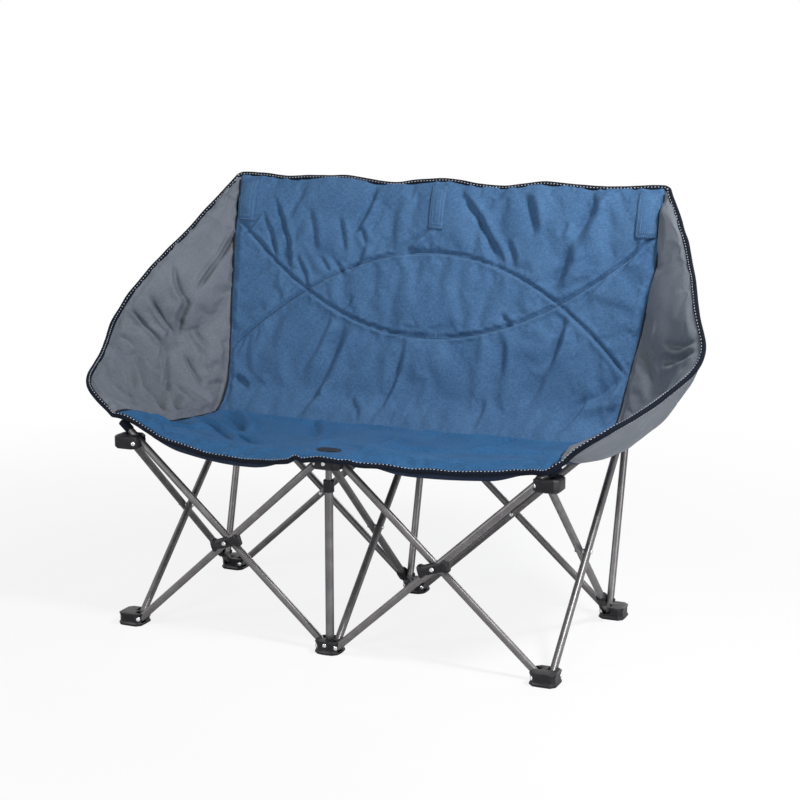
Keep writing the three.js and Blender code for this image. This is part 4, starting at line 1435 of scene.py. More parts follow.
    def sew_seams(self) -> None:
        """A dark thread along the arch and the hanging curve, its dark colour painted shade of their grooves,
        and a row of light top stitches under it, partly a painted highlight of the lit edge below.
        """
        x = np.linspace(-self.seam_half, self.seam_half, self.seam_points)
        share = (x / self.tub.bay) ** 2
        curves = (self.arch_top - self.arch_drop * share, self.smile_low + self.smile_rise * share)
        away = np.tile(np.array(BACK_FACING), (len(x), 1))
        for word, below, row, thread in self.seam_rows:
            lines = []
            for height in curves:
                path = self.on_face(x, height + self.tub.crease_z - below)
                lines.append((path + STITCH_LIFT * away, away))
            stitches = row.sew(f"back_seam_{word}", lines)
            self.finishes.dress(stitches, getattr(self.finishes, thread))
            draw_in(stitches, self.body)


@dataclass
class PostPockets:
    """Pockets at the back's top, which the post tops stand in: a patch in front and a sheath behind."""

    tub: Tub
    back: BackPanel
    finishes: Finishes
    columns: int = 12
    rows: int = 24
    height: float = 0.096
    below_top: float = 0.012
    lift: float = 0.0028
    bulge: float = 0.004
    under: float = 0.0002
    stitch: StitchRow = StitchRow(pitch=0.0046, length=0.0034, radius=0.0011)
    stitch_insets: tuple[int, ...] = (1, 3)
    patches: tuple[tuple[str, float, float], ...] = (
        ("left", -0.499, 0.024), ("centre", 0.0, 0.018), ("right", 0.499, 0.024))
    sheath_wall: float = 0.0032
    sheath_length: float = 0.105
    sheath_above: float = 0.002
    sheath_breadth: float = 1.45
    sheath_points: int = 28
    sheath_sides: int = 20
    sheath_power: float = 2.2
    sheath_facing: Vec3 = (0.0, 1.0, 0.0)
    mouth_tape: float = 0.0011
    mouth_places: tuple[float, ...] = (-0.001, 0.005, 0.011)
    body: str = "back_cover"

    def build(self) -> None:
        """The three pockets."""
        for word, x, half_width in self.patches:
            self._patch(word, x, half_width)
            self._sheath(word)

    def _patch(self, word: str, x: float, half_width: float) -> None:
        """One patch with two rows of stitches, lying on the face of the back.

        Args:
            word: which post it covers.
            x: the patch's middle across the back.
            half_width: half its width.
        """
        top = self.tub.back_top_z - self.below_top
        columns = np.linspace(-1.0, 1.0, self.columns + 1)[None, :]
        rows = np.linspace(0.0, 1.0, self.rows + 1)[:, None]
        xs, zs = np.broadcast_arrays(x + half_width * columns, top - self.height * (1.0 - rows))
        base = self.back.on_face(xs, zs).reshape(*xs.shape, 3)
        base[..., 0] = xs
        base[..., 2] = zs
        normal = grid_normals(base)
        full = np.cos(0.5 * math.pi * columns) * np.sin(math.pi * rows) ** 0.5
        face = base + normal * (self.lift + self.bulge * full)[..., None]
        patch = padded_panel(f"post_pocket_{word}", face, base - normal * self.under)
        self.finishes.dress(patch, self.finishes.blue, self.finishes.blue)
        lines = [self._border(face, normal, inset) for inset in self.stitch_insets]
        stitches = self.stitch.sew(f"post_pocket_stitches_{word}", lines)
        self.finishes.dress(stitches, self.finishes.blue_thread)
        for piece in (patch, stitches):
            draw_in(piece, self.body)

    def _border(self, face: Array, normal: Array, inset: int) -> tuple[Array, Array]:
        """A patch's stitch line, some columns in from its border.

        Args:
            face: the patch's face.
            normal: its normals.
            inset: how many columns in.

        Returns:
            The line and the directions away from the patch.
        """
        far_row = self.rows - inset
        far_column = self.columns - inset
        loop = [(j, inset) for j in range(far_row, inset, -1)]
        loop += [(inset, i) for i in range(inset, far_column)]
        loop += [(j, far_column) for j in range(inset, far_row + 1)]
        away = np.array([normal[place] for place in loop])
        path = np.array([face[place] for place in loop]) + STITCH_LIFT * away
        return path, away

    def _sheath(self, word: str) -> None:
        """The cloth sheath round a post's top, with a bound mouth.

        Args:
            word: which post it covers.
        """
        node = f"back_post_{word}"
        centre, axis, half, radius = Tubes.axis_of(node)
        shares = np.linspace(0.0, 1.0, self.sheath_points)
        reach = radius + self.sheath_wall
        top = centre + axis * (half + self.sheath_above)
        path = top - axis * (self.sheath_length * (1.0 - shares))[:, None]
        sheath = sweep(f"post_sheath_{word}", path, self.sheath_facing, self._sheath_section(reach, 0.0))
        self.finishes.dress(sheath, self.finishes.blue)
        mouth = path[0] + axis * np.array(self.mouth_places)[:, None]
        band = self._sheath_section(reach, self.mouth_tape)
        binding = sweep(f"post_sheath_binding_{word}", mouth, self.sheath_facing, band)
        self.finishes.dress(binding, self.finishes.tape)
        for piece in (sheath, binding):
            report(piece, body_of(node))

    def _sheath_section(self, reach: float, outside: float) -> Array:
        """A sheath's broad oval section, or that of the tape outside it."""
        breadth = self.sheath_breadth * reach + outside
        return rounded_section(reach + outside, breadth, self.sheath_sides, self.sheath_power)


@dataclass
class Seat:
    """The padded seat in three strips that share their edges."""

    tub: Tub
    finishes: Finishes
    columns: int = 130
    crown: float = 0.005
    end_ease: float = 0.03
    side_ease: float = 0.05
    edge_pin: float = 0.1
    plate_ease: Span = (0.05, 0.12)
    plate_pin: float = 0.2
    seam_lip: float = 0.006
    lip_place: float = 0.022
    lip_width: float = 0.013
    lip_wave: float = 0.7
    lip_scale: float = 26.0
    lip_stretch: Vec3 = (1.0, 0.3, 0.0)
    seam_tuck: float = 0.009
    tuck_reach: float = 0.007
    loose: float = 0.0012
    loose_scale: float = 15.0
    roll_rise: Span = (0.14, 0.35)
    roll_fall: Span = (0.7, 0.9)
    roll_lip: float = 0.007
    crumple: Crumple = Crumple(slack=0.02, pressure=1.2, cap=0.008)
    strips: tuple[tuple[str, str, int], ...] = (
        ("seat_edge", "hub", 8), ("seat_front", "seat_front_strip", 10), ("seat_rear", "seat_rear_strip", 34))
    folds: tuple[Fold, ...] = (
        Fold((-0.450, 0.245), (-0.280, 0.095), 0.011, 0.013),
        Fold((-0.430, 0.345), (-0.315, 0.200), 0.016, 0.018),
        Fold((-0.345, 0.180), (-0.205, 0.095), 0.013, 0.010),
        Fold((-0.470, 0.050), (-0.360, 0.160), 0.012, 0.010),
        Fold((-0.220, 0.360), (-0.150, 0.240), 0.014, 0.010),
        Fold((0.020, 0.275), (0.045, 0.140), 0.011, 0.008),
        Fold((0.080, 0.085), (0.190, 0.205), 0.014, 0.008),
        Fold((0.190, 0.205), (0.415, 0.235), 0.014, 0.008),
        Fold((0.450, 0.060), (0.360, 0.180), 0.012, 0.010),
        Fold((0.280, 0.350), (0.200, 0.220), 0.016, 0.010),
    )

    def _depths(self) -> Array:
        """Rows of the whole seat as shares of each strip, front to rear.

        Returns:
            Each row's strip number plus its share of that strip.
        """
        shares = []
        for number, (_, _, rows) in enumerate(self.strips):
            shares.append(number + np.linspace(0.0, 1.0, rows + 1)[:-1])
        return np.concatenate([*shares, [float(len(self.strips))]])

    def build(self) -> None:
        """Builds the seat as one cloth, then parts it into its strips."""
        tub = self.tub
        across = np.linspace(-1.0, 1.0, self.columns + 1)
        front = tub.edge_y(across * tub.corner_half)
        depths = (tub.seat_hinge_y, tub.seat_split_y, tub.rear_edge_y)
        marks = [front, *(np.full_like(front, depth) for depth in depths)]
        rows = []
        for depth in self._depths():
            number = min(int(depth), len(self.strips) - 1)
            rows.append(blend(marks[number], marks[number + 1], depth - number))
        y = np.array(rows)
        middle = tub.seat_point(across[None, :], y)
        edge, clamp = self._edges(across, y, front, middle)
        face = middle + grid_normals(middle) * (tub.half_pad + self.crown * edge * clamp)[..., None]
        sewn = 1.0 - smoothstep(0.0, self.edge_pin, edge)
        pinned = np.maximum(sewn, 1.0 - smoothstep(0.0, self.plate_pin, clamp))
        face = refine_grid(self.crumple.settle(face, pinned))
        middle, y = refine_grid(middle), refine_grid(y)
        hold = np.clip(refine_grid(edge * clamp), 0.0, 1.0)
        creases = sum(fold.height(middle[..., 0], y) for fold in self.folds)
        creases = creases + self.loose * ripple(middle, self.loose_scale)
        relief = creases * hold + self._rear_seam(middle, tub.rear_edge_y - y)
        face = face + grid_normals(middle) * relief[..., None]
        rear = lined(middle, face, np.full_like(y, tub.half_pad), tub.half_pad)
        rear[..., 2] -= self._roll(middle, y)
        first = 0
        for node, body, count in self.strips:
            last = first + 2 * count
            self._strip(node, body, tub.draped(face[first:last + 1]), tub.draped(rear[first:last + 1]))
            first = last

    def _rear_seam(self, middle: Array, ahead: Array) -> Array:
        """The cloth's lip in front of the rear seam and its tuck into it, by distance from the seam.

        Args:
            middle: a grid of points on the panel's middle surface.
            ahead: distances in front of the seam.

        Returns:
            Heights in metres, positive upwards.
        """
        wave = 1.0 + self.lip_wave * ripple(middle * np.array(self.lip_stretch), self.lip_scale)
        lip = self.seam_lip * wave * np.exp(-(((ahead - self.lip_place) / self.lip_width) ** 2))
        return lip - self.seam_tuck * np.exp(-ahead / self.tuck_reach)

    def _edges(self, across: Array, y: Array, front: Array, middle: Array) -> tuple[Array, Array]:
        """How free the cloth is of its sewn edges, and of the hub's plate, from 0 to 1.

        Args:
            across: shares of half the width.
            y: depths of the grid.
            front: depths of the front edge.
            middle: a grid of points on the panel's middle surface.

        Returns:
            Freedom from the edges, and from the plate.
        """
        inside = np.minimum(y - front[None, :], self.tub.rear_edge_y - y)
        beside = smoothstep(0.0, self.side_ease, 1.0 - np.abs(across))
        edge = smoothstep(0.0, self.end_ease, inside) * beside[None, :]
        return edge, smoothstep(*self.plate_ease, np.hypot(middle[..., 0], y))

    def _roll(self, middle: Array, y: Array) -> Array:
        """How far the padding hangs below the front edge, between the hub and the corners.

        Args:
            middle: a grid of points on the panel's middle surface.
            y: depths of the grid.

        Returns:
            Lengths in metres, downwards.
        """
        tub = self.tub
        span = np.abs(middle[..., 0]) / tub.corner_half
        between = smoothstep(*self.roll_rise, span) * (1.0 - smoothstep(*self.roll_fall, span))
        inside = y - tub.edge_y(middle[..., 0])
        past = 1.0 - smoothstep(self.roll_lip, tub.seat_roll_run, inside)
        return tub.seat_roll * between * (smoothstep(0.0, self.roll_lip, inside) * past)

    def _strip(self, node: str, body: str, face: Array, rear: Array) -> None:
        """One strip of the seat, riding its body, with its underside in dark navy as painted shade.

        Args:
            node: the solid that it stands for.
            body: the body that carries it.
            face: points of its upper side.
            rear: points of its underside.
        """
        panel = padded_panel(f"{node}_cloth", face, rear)
        # Upper side in the darker copy of the blue, painted shade against the light from above; underside in
        # dark navy, painted shade.
        self.finishes.dress(panel, self.finishes.seat_blue, self.finishes.lining)
        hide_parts(node)
        draw_in(panel, body)


@dataclass
class Arm:
    """One padded arm with its quilting seam and creases."""

    tub: Tub
    side: Side
    finishes: Finishes
    columns: int = 140
    rows: int = 40
    crown: float = 0.007
    fullness: float = 0.014
    fullness_start: Span = (0.03, 0.3)
    end_ease: float = 0.06
    side_ease: float = 0.09
    edge_pin: float = 0.08
    seam_pin: float = 0.007
    length: float = 1.05
    width: float = 0.27
    channel: float = 0.016
    seam_slope: float = 2.7
    seam_start: Span = (0.31, 0.02)
    seam_end: Span = (0.56, 0.6)
    seam_pull: float = 0.004
    seam_reach: float = 0.005
    loose: float = 0.0025
    loose_scale: float = 19.0
    rear_share: float = 0.5
    gather_turn: float = 73.0
    crumple_left: Crumple = Crumple(slack=0.034, pressure=0.4, cap=0.013)
    crumple_right: Crumple = Crumple(slack=0.016, pressure=0.4, cap=0.008)
    folds_left: tuple[Fold, ...] = (
        Fold((0.145, 0.000), (0.245, 0.085), 0.010, 0.014),
        Fold((0.245, 0.085), (0.320, 0.115), 0.010, 0.013),
        Fold((0.290, 0.220), (0.370, 0.130), 0.012, 0.014),
        Fold((0.360, 0.135), (0.470, 0.125), 0.015, 0.020),
        Fold((0.460, 0.260), (0.520, 0.155), 0.010, 0.016),
        Fold((0.400, 0.225), (0.470, 0.135), 0.009, 0.013),
        Fold((0.570, 0.250), (0.585, 0.165), 0.010, 0.013),
        Fold((0.645, 0.250), (0.585, 0.190), 0.009, 0.010),
        Fold((0.530, 0.145), (0.650, 0.090), 0.009, 0.014),
        Fold((0.425, 0.090), (0.460, 0.050), 0.008, 0.010),
        Fold((0.500, 0.105), (0.560, 0.050), 0.009, 0.012),
        Fold((0.480, 0.025), (0.510, 0.040), 0.008, 0.007),
        Fold((0.520, 0.005), (0.560, 0.045), 0.008, 0.012),
        Fold((0.700, 0.235), (0.760, 0.130), 0.012, 0.019),
        Fold((0.640, 0.080), (0.700, 0.030), 0.010, 0.016),
        Fold((0.760, 0.120), (0.800, 0.050), 0.010, 0.017),
        Fold((0.590, 0.110), (0.620, 0.040), 0.010, 0.016),
        Fold((0.770, 0.215), (0.775, 0.120), 0.008, 0.014),
        Fold((0.665, 0.150), (0.730, 0.045), 0.009, 0.017),
        Fold((0.600, 0.200), (0.710, 0.115), 0.013, 0.020),
    )
    folds_right: tuple[Fold, ...] = (
        Fold((0.385, 0.045), (0.485, 0.090), 0.012, 0.009),
        Fold((0.480, 0.250), (0.430, 0.125), 0.014, 0.016),
        Fold((0.450, 0.260), (0.400, 0.150), 0.011, 0.012),
        Fold((0.530, 0.255), (0.650, 0.150), 0.013, 0.013),
        Fold((0.325, 0.070), (0.395, 0.050), 0.013, 0.007),
        Fold((0.700, 0.230), (0.820, 0.090), 0.013, 0.012),
        Fold((0.600, 0.090), (0.720, 0.045), 0.012, 0.009),
    )

    @property
    def body(self) -> str:
        """The body that the arm rides."""
        return f"arm_cover_{self.side.word}"

    def build(self) -> None:
        """The arm's padded mesh, riding its cover."""
        left = self.side is Side.LEFT
        crumple = self.crumple_left if left else self.crumple_right
        folds = self.folds_left if left else self.folds_right
        shares = np.linspace(0.0, 1.0, self.columns + 1)
        widths = np.linspace(0.0, 1.0, self.rows + 1)
        middle = self.tub.arm_points(shares, widths)
        s, w = np.meshgrid(shares, widths)
        edge = smoothstep(0.0, self.end_ease, np.minimum(s, 1.0 - s))
        edge = edge * smoothstep(0.0, self.side_ease, np.minimum(w, 1.0 - w))
        seam = self.seam_distance(s, w)
        channel = np.exp(-((seam / self.channel) ** 2))
        belly = self.fullness * np.sin(math.pi * w) * edge * smoothstep(*self.fullness_start, 1.0 - s)
        plump = self.crown * edge * (1.0 - channel) + belly
        face = middle + grid_normals(middle) * (self.tub.half_pad + plump)[..., None]
        sewn = np.exp(-((seam / self.seam_pin) ** 2))
        pinned = np.maximum(1.0 - smoothstep(0.0, self.edge_pin, edge), sewn)
        face = refine_grid(crumple.settle(face, pinned))
        middle, s, w = refine_grid(middle), refine_grid(s), refine_grid(w)
        edge = np.clip(refine_grid(edge), 0.0, 1.0)
        normal = grid_normals(middle)
        creases = sum(fold.height(s * self.length, w * self.width) for fold in folds)
        pull = self.seam_pull * np.exp(-self.seam_distance(s, w) / self.seam_reach)
        loose = self.loose * ripple(middle, self.loose_scale)
        face = face + normal * ((creases - pull + loose) * edge)[..., None]
        depth = self.tub.half_pad + (self.rear_share * creases + loose) * edge
        rear = lined(middle, face, depth, self.tub.half_pad)
        if left:
            mirror = np.array([-1.0, 1.0, 1.0])
            face = (face * mirror)[:, ::-1]
            rear = (rear * mirror)[:, ::-1]
        arm = padded_panel(f"arm_{self.side.word}_cloth", self.tub.draped(face), self.tub.draped(rear))
        self.finishes.dress(arm, self.finishes.grey, self.finishes.grey)
        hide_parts(f"arm_{self.side.word}")
        self.gather(arm)

    def seam_distance(self, s: Array, w: Array) -> Array:
        """Distance from the quilting seam that slants across the arm's upper part.

        Args:
            s: shares of the length.
            w: shares of the width.

        Returns:
            Distances in metres, and 1 beyond the ends of the seam.
        """
        start_s, start_w = self.seam_start
        end_s, end_w = self.seam_end
        off = np.abs((w - start_w) - self.seam_slope * (s - start_s))
        gap = off * self.width / math.hypot(1.0, self.seam_slope)
        return np.where((w < end_w) & (s < end_s), gap, 1.0)

    def gather(self, piece: bpy.types.Object) -> None:
        """Lets a piece ride the arm's body, on its own copy of its mesh.

        Args:
            piece: the arm itself, its binding or its seam cord.
        """
        sign = float(self.side.value)
        tub = self.tub
        widening = sign * (tub.back_half(1.0) - tub.bay)
        run = unit(np.array([widening, tub.back_top_y - tub.crease_y, tub.back_top_z - tub.crease_z]))
        out = unit(np.array([sign, 0.0, 0.0]) - run * sign * run[0])
        ahead = np.cross(out, run) * sign
        turn = math.radians(self.gather_turn)
        axis = math.cos(turn) * out + math.sin(turn) * ahead
        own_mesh(report(piece, self.body))


@dataclass
class Binding:
    """The tape that binds every free edge of the tub, with its white stitches."""

    tub: Tub
    finishes: Finishes
    half_depth: float = 0.0058
    half_width: float = 0.005
    step: float = 0.006
    points: int = 400
    pucker: float = 0.12
    pucker_scale: float = 28.0
    drift: float = 0.0022
    drift_scale: float = 17.0
    stitch_gap: float = 0.0003
    seat_facing: Vec3 = (0.0, -0.35, 0.94)
    arm_facing: Vec3 = (-0.6, -0.5, 0.62)
    stitch: StitchRow = StitchRow(pitch=0.0078, length=0.0042, radius=0.0012, slant=0.3)

    def build(self, arms: dict[Side, Arm]) -> None:
        """Binds the back's top, both arms and the seat's front, each length ending on the next.

        Args:
            arms: both arms.
        """
        tub = self.tub
        x = np.linspace(-1.0, 1.0, self.points)
        shares = np.linspace(0.0, 1.0, self.points)
        edges = {side: tub.arm_edge(shares) * np.array([side.value, 1.0, 1.0]) for side in Side}
        left, right = edges[Side.LEFT], edges[Side.RIGHT]
        top = np.concatenate([left[:1], tub.back_point(x, np.ones_like(x)), right[:1]])
        self._bind("back_binding", top, BACK_FACING, "back_cover")
        front = tub.seat_point(x, tub.edge_y(x * tub.corner_half))
        front = tub.draped(np.concatenate([left[-1:], front, right[-1:]]))
        self._bind("seat_binding", front, self.seat_facing, "hub")
        for side, arm in arms.items():
            inward, ahead, up = self.arm_facing
            facing = (inward * side.value, ahead, up)
            self._bind(f"arm_binding_{side.word}", tub.draped(edges[side]), facing, arm)

    def _bind(self, name: str, path: Array, facing: Vec3, carrier: Arm | str) -> None:
        """One length of binding and its two rows of stitches.

        Args:
            name: the tape's name.
            path: the edge that it binds.
            facing: the direction of the tape's upper side.
            carrier: the arm that it is sewn to, or the body that it rides.
        """
        line = resample(path, self.step)
        swell = self.pucker * np.array([noise.noise(Vector(p) * self.pucker_scale) for p in line])
        drift = np.array([noise.noise_vector(Vector(p) * self.drift_scale) for p in line])
        line = line + self.drift * drift
        section = rounded_section(self.half_width, self.half_depth)
        tape = sweep(name, line, facing, section)
        self._swell(tape, line, swell, len(section))
        self.finishes.dress(tape, self.finishes.tape)
        _, first = squared(line, np.array(facing))
        reach = self.half_width * (1.0 + swell[:, None]) + self.stitch_gap
        lines = [(line + first * reach, first), (line - first * reach, -first)]
        stitches = self.stitch.sew(f"{name}_stitches", lines)
        self.finishes.dress(stitches, self.finishes.white_thread)
        for piece in (tape, stitches):
            if isinstance(carrier, Arm):
                carrier.gather(piece)
            else:
                draw_in(piece, carrier)

    @staticmethod
    def _swell(tape: bpy.types.Object, line: Array, swell: Array, sides: int) -> None:
        """Swells and pinches the tape a little along its length.

        Args:
            tape: the tape.
            line: points along its middle.
            swell: how much it swells at each of them.
            sides: points in the tape's section.
        """
        for index, vertex in enumerate(tape.data.vertices):
            station = index // sides
            centre = Vector(line[station])
            vertex.co = centre + (vertex.co - centre) * (1.0 + float(swell[station]))


@dataclass
class SeamCords:
    """Dark cords in the seams where the arms and the seat meet the back: partly overlocked thread, partly
    painted shade of the seams' shadow lines.
    """

    tub: Tub
    finishes: Finishes
    radius: float = 0.0022
    sides: int = 8
    step: float = 0.006
    ahead: float = 0.003
    rise: float = 0.0035
    end: float = 0.01
    arm_points: int = 300
    seat_points: int = 200
    drift: float = 0.0015
    drift_scale: float = 23.0
    facing: Vec3 = (0.0, -0.7, 0.7)

    def build(self, arms: dict[Side, Arm]) -> None:
        """One cord beside each arm and one behind the seat.

        Args:
            arms: both arms.
        """
        shares = np.linspace(self.end, 1.0 - self.end, self.arm_points)
        lift = np.array([0.0, -self.ahead, self.rise])
        for side, arm in arms.items():
            seam = self.tub.arm_seam(shares) - np.array([0.5 * self.tub.seam_offset, 0.0, 0.0])
            cord = self._cord(f"arm_seam_{side.word}", (seam + lift) * np.array([side.value, 1.0, 1.0]))
            arm.gather(cord)
        x = np.linspace(self.end - 1.0, 1.0 - self.end, self.seat_points)
        seam = self.tub.seat_point(x, np.full_like(x, self.tub.rear_edge_y))
        draw_in(self._cord("seat_seam", seam + lift), "seat_rear_strip")

    def _cord(self, name: str, path: Array) -> bpy.types.Object:
        """A cord along a path, lying unevenly in its seam.

        Args:
            name: the cord's name.
            path: the seam.

        Returns:
            The cord.
        """
        line = resample(path, self.step)
        drift = np.array([noise.noise_vector(Vector(p) * self.drift_scale) for p in line])
        section = rounded_section(self.radius, self.radius, self.sides, 2.0)
        cord = sweep(name, line + self.drift * drift, self.facing, section)
        # Near-black, partly thread colour and partly painted shade along the seam.
        self.finishes.dress(cord, self.finishes.lining_thread)
        return cord


@dataclass
class Tubes:
    """Round steel tubes in place of the frame's faceted ones."""

    finishes: Finishes
    sides: int = 32
    rings: int = 12
    end_gap: float = 0.01
    wall: float = 0.0015
    bevel: float = 0.0006
    seam_side: Vec3 = (0.31, 0.95, 0.12)
    prefixes: tuple[str, ...] = ("front_tube", "rear_tube", "side_tube", "back_post")
    posts: tuple[str, ...] = ("centre_post_lower", "centre_post_inner")

    def names(self) -> list[str]:
        """The frame's tube nodes."""
        return nodes_named(self.prefixes) + list(self.posts)

    @staticmethod
    def axis_of(node: str) -> tuple[Array, Array, float, float]:
        """Where a tube lies.

        Args:
            node: the tube's node.

        Returns:
            Its middle, direction, half length and radius.
        """
        points = np.array([v.co for v in frame["nodes"][node].data.vertices], float)
        low, high = points.min(axis=0), points.max(axis=0)
        _, _, rows = np.linalg.svd(points - points.mean(axis=0), full_matrices=False)
        axis = rows[0] * (1.0 if rows[0][2] > 0 else -1.0)
        along = (points - 0.5 * (low + high)) @ axis
        centre = 0.5 * (low + high) + axis * 0.5 * (along.max() + along.min())
        offsets = (points - centre) - np.outer((points - centre) @ axis, axis)
        radius = float(np.linalg.norm(offsets, axis=1).max())
        return centre, axis, 0.5 * (along.max() - along.min()), radius

    def build(self) -> None:
        """Every tube, riding the body of the node that it stands for."""
        for node in self.names():
            self._tube(node)

    def _tube(self, node: str) -> None:
        """One tube with its wall, bore and eased ends.

        Args:
            node: the tube's node.
        """
        centre, axis, half, radius = self.axis_of(node)
        bore = radius - self.wall
        ease = self.bevel
        profile = [(bore, -half + ease), (bore + ease, -half), (radius - ease, -half), (radius, -half + ease)]
        places = np.linspace(-half + self.end_gap, half - self.end_gap, self.rings)
        profile += [(radius, place) for place in places]
        profile += [(radius, half - ease), (radius - ease, half), (bore + ease, half), (bore, half - ease)]
        first = unit(np.cross(axis, np.array(self.seam_side)))
        second = np.cross(axis, first)
        angles = 2 * math.pi * np.arange(self.sides) / self.sides
        ring = np.cos(angles)[:, None] * first + np.sin(angles)[:, None] * second
        points = np.concatenate([centre + axis * place + ring * reach for reach, place in profile])
        faces = ring_quads(len(profile), self.sides, closed=True)
        tube = mesh_object(f"{node}_round", points, faces)
        self.finishes.dress(tube, self.finishes.tube)
        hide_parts(node)
        report(tube, body_of(node))


@dataclass
class Mouldings:
    """Moulded feet, blocks, sleeves, collars and brackets with eased edges."""

    finishes: Finishes
    radius: float = 0.0011
    segments: int = 2
    sharp_angle: float = 28.0
    flat_angle: float = 1.0
    weld: float = 1e-5
    prefixes: tuple[str, ...] = ("foot_", "front_hub", "corner_block", "rear_sleeve", "post_collar",
                                 "crossing_bracket", "centre_post_bush", "seat_plate")

    def names(self) -> list[str]:
        """The frame's moulded nodes."""
        return nodes_named(self.prefixes)

    def build(self) -> None:
        """An eased copy of every moulding."""
        for node in self.names():
            mesh = frame["nodes"][node].data.copy()
            mesh.materials.clear()
            work = bmesh.new()
            work.from_mesh(mesh)
            bmesh.ops.remove_doubles(work, verts=work.verts, dist=self.weld)
            flat = math.radians(self.flat_angle)
            bmesh.ops.dissolve_limit(work, angle_limit=flat, verts=work.verts, edges=work.edges)
            work.to_mesh(mesh)
            work.free()
            piece = bpy.data.objects.new(f"{node}_eased", mesh)
            bpy.context.scene.collection.objects.link(piece)
            bevel = piece.modifiers.new("Ease", "BEVEL")
            bevel.width = self.radius
            bevel.segments = self.segments
            bevel.limit_method = "ANGLE"
            bevel.angle_limit = math.radians(self.sharp_angle)
            bevel.harden_normals = False
            bake_modifiers(piece)
            self.finishes.dress(piece, self.finishes.plastic)
            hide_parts(node)
            report(piece, body_of(node))


@dataclass
class Rivets:
    """Bright rivet heads on the mouldings, where the pins of the tubes come through."""

    tubes: Tubes
    mouldings: Mouldings
    finishes: Finishes
    trees: dict[str, BVHTree] = field(default_factory=dict)
    head: float = 0.0048
    dome: float = 0.0022
    profile: tuple[Span, ...] = ((1.0, -0.15), (1.0, 0.35), (0.86, 0.72), (0.5, 0.96))
    tube_end: float = 0.008
    tip_reach: float = 0.06
    tips: tuple[str, ...] = ("front_tube_centre_to_left", "front_tube_centre_to_right")
    pinned: tuple[str, ...] = ("foot_front_centre", "front_hub")
    box_slack: float = 1e-4
    search: float = 0.1
    depths: Span = (0.007, 0.032)
    squareness: float = 0.6
    sides: int = 20

    def _tree(self, node: str) -> BVHTree:
        """A search tree over a moulding's surface.

        Args:
            node: the moulding's node.

        Returns:
            The tree, made on first use.
        """
        if node not in self.trees:
            mesh = frame["nodes"][node].data
            self.trees[node] = BVHTree.FromPolygons(
                [v.co.copy() for v in mesh.vertices], [tuple(p.vertices) for p in mesh.polygons])
        return self.trees[node]

    def _pivots(self) -> list[tuple[Array, Array]]:
        """Every tube end's pivot and the direction of its pin.

        Returns:
            Pairs of a place and a direction.
        """
        found = []
        for node in self.tubes.names():
            if node.startswith(("back_post", "centre_post")):
                continue
            centre, axis, half, _ = self.tubes.axis_of(node)
            pin = np.array([1.0, 0.0, 0.0]) if node.startswith("side") else np.array([0.0, 1.0, 0.0])
            upper = half - (self.tip_reach if node in self.tips else self.tube_end)
            found.append((centre - axis * (half - self.tube_end), pin))
            found.append((centre + axis * upper, pin))
        for node in self.pinned:
            low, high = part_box(node)
            middle = np.array((low + high) / 2)
            found.append((middle, np.array([0.0, 1.0, 0.0])))
        return found

    def build(self) -> None:
        """One mesh of rivet heads for each moulding."""
        heads: dict[str, list[tuple[Vector, Vector]]] = {}
        for pivot, pin in self._pivots():
            for node in self.mouldings.names():
                low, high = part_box(node)
                slack = self.box_slack
                if all(low[k] - slack <= pivot[k] <= high[k] + slack for k in range(3)):
                    self._heads_on(node, pivot, pin, heads.setdefault(node, []))
        for node, places in heads.items():
            if places:
                self._heads(node, places)

    def _heads_on(self, node: str, pivot: Array, pin: Array, places: list[tuple[Vector, Vector]]) -> None:
        """Finds where a pin's two ends meet a moulding's outside.

        Args:
            node: the moulding's node.
            pivot: the pin's middle.
            pin: the pin's direction.
            places: the places and normals found so far.
        """
        shallowest, deepest = self.depths
        for sign in (1.0, -1.0):
            away = Vector(pin * sign)
            hit, normal, _, _ = self._tree(node).ray_cast(Vector(pivot) + away * self.search, -away)
            if hit is None:
                continue
            reach = (hit - Vector(pivot)).dot(away)
            if shallowest < reach < deepest and normal.dot(away) > self.squareness:
                places.append((hit, normal.normalized()))

    def _heads(self, node: str, places: list[tuple[Vector, Vector]]) -> None:
        """Builds a moulding's domed heads as one mesh.

        Args:
            node: the moulding's node.
            places: the heads' places and normals.
        """
        points: list[Vector] = []
        faces: list[tuple[int, ...]] = []
        for place, normal in places:
            first = normal.orthogonal().normalized()
            second = normal.cross(first)
            start = len(points)
            for reach, height in self.profile:
                for i in range(self.sides):
                    angle = 2 * math.pi * i / self.sides
                    out = first * math.cos(angle) + second * math.sin(angle)
                    points.append(place + out * (self.head * reach) + normal * (self.dome * height))
            points.append(place + normal * self.dome)
            top = len(points) - 1
            faces += ring_quads(len(self.profile), self.sides, start)
            last = top - self.sides
            for i in range(self.sides):
                faces.append((last + i, last + (i + 1) % self.sides, top))
            faces.append(tuple(start + i for i in range(self.sides - 1, -1, -1)))
        piece = mesh_object(f"{node}_rivets", np.array([tuple(p) for p in points]), faces)
        self.finishes.dress(piece, self.finishes.rivet)
        report(piece, body_of(node))


@dataclass(frozen=True)
class Lamp:
    """One square soft light aimed at the seat, its place and size in metres and its power in watts."""

    name: str
    place: Vec3
    size: float
    power: float
    target: Vec3 = (0.0, 0.0, 0.5)

    def build(self) -> None:
        """Adds the lamp to the scene."""
        data = bpy.data.lights.new(self.name, "AREA")
        data.size = self.size
        data.energy = self.power
        lamp = bpy.data.objects.new(self.name, data)
        lamp.visible_camera = False
        lamp.location = self.place
        aim = Vector(self.target) - Vector(self.place)
        lamp.rotation_euler = aim.to_track_quat("-Z", "Y").to_euler()
        bpy.context.scene.collection.objects.link(lamp)


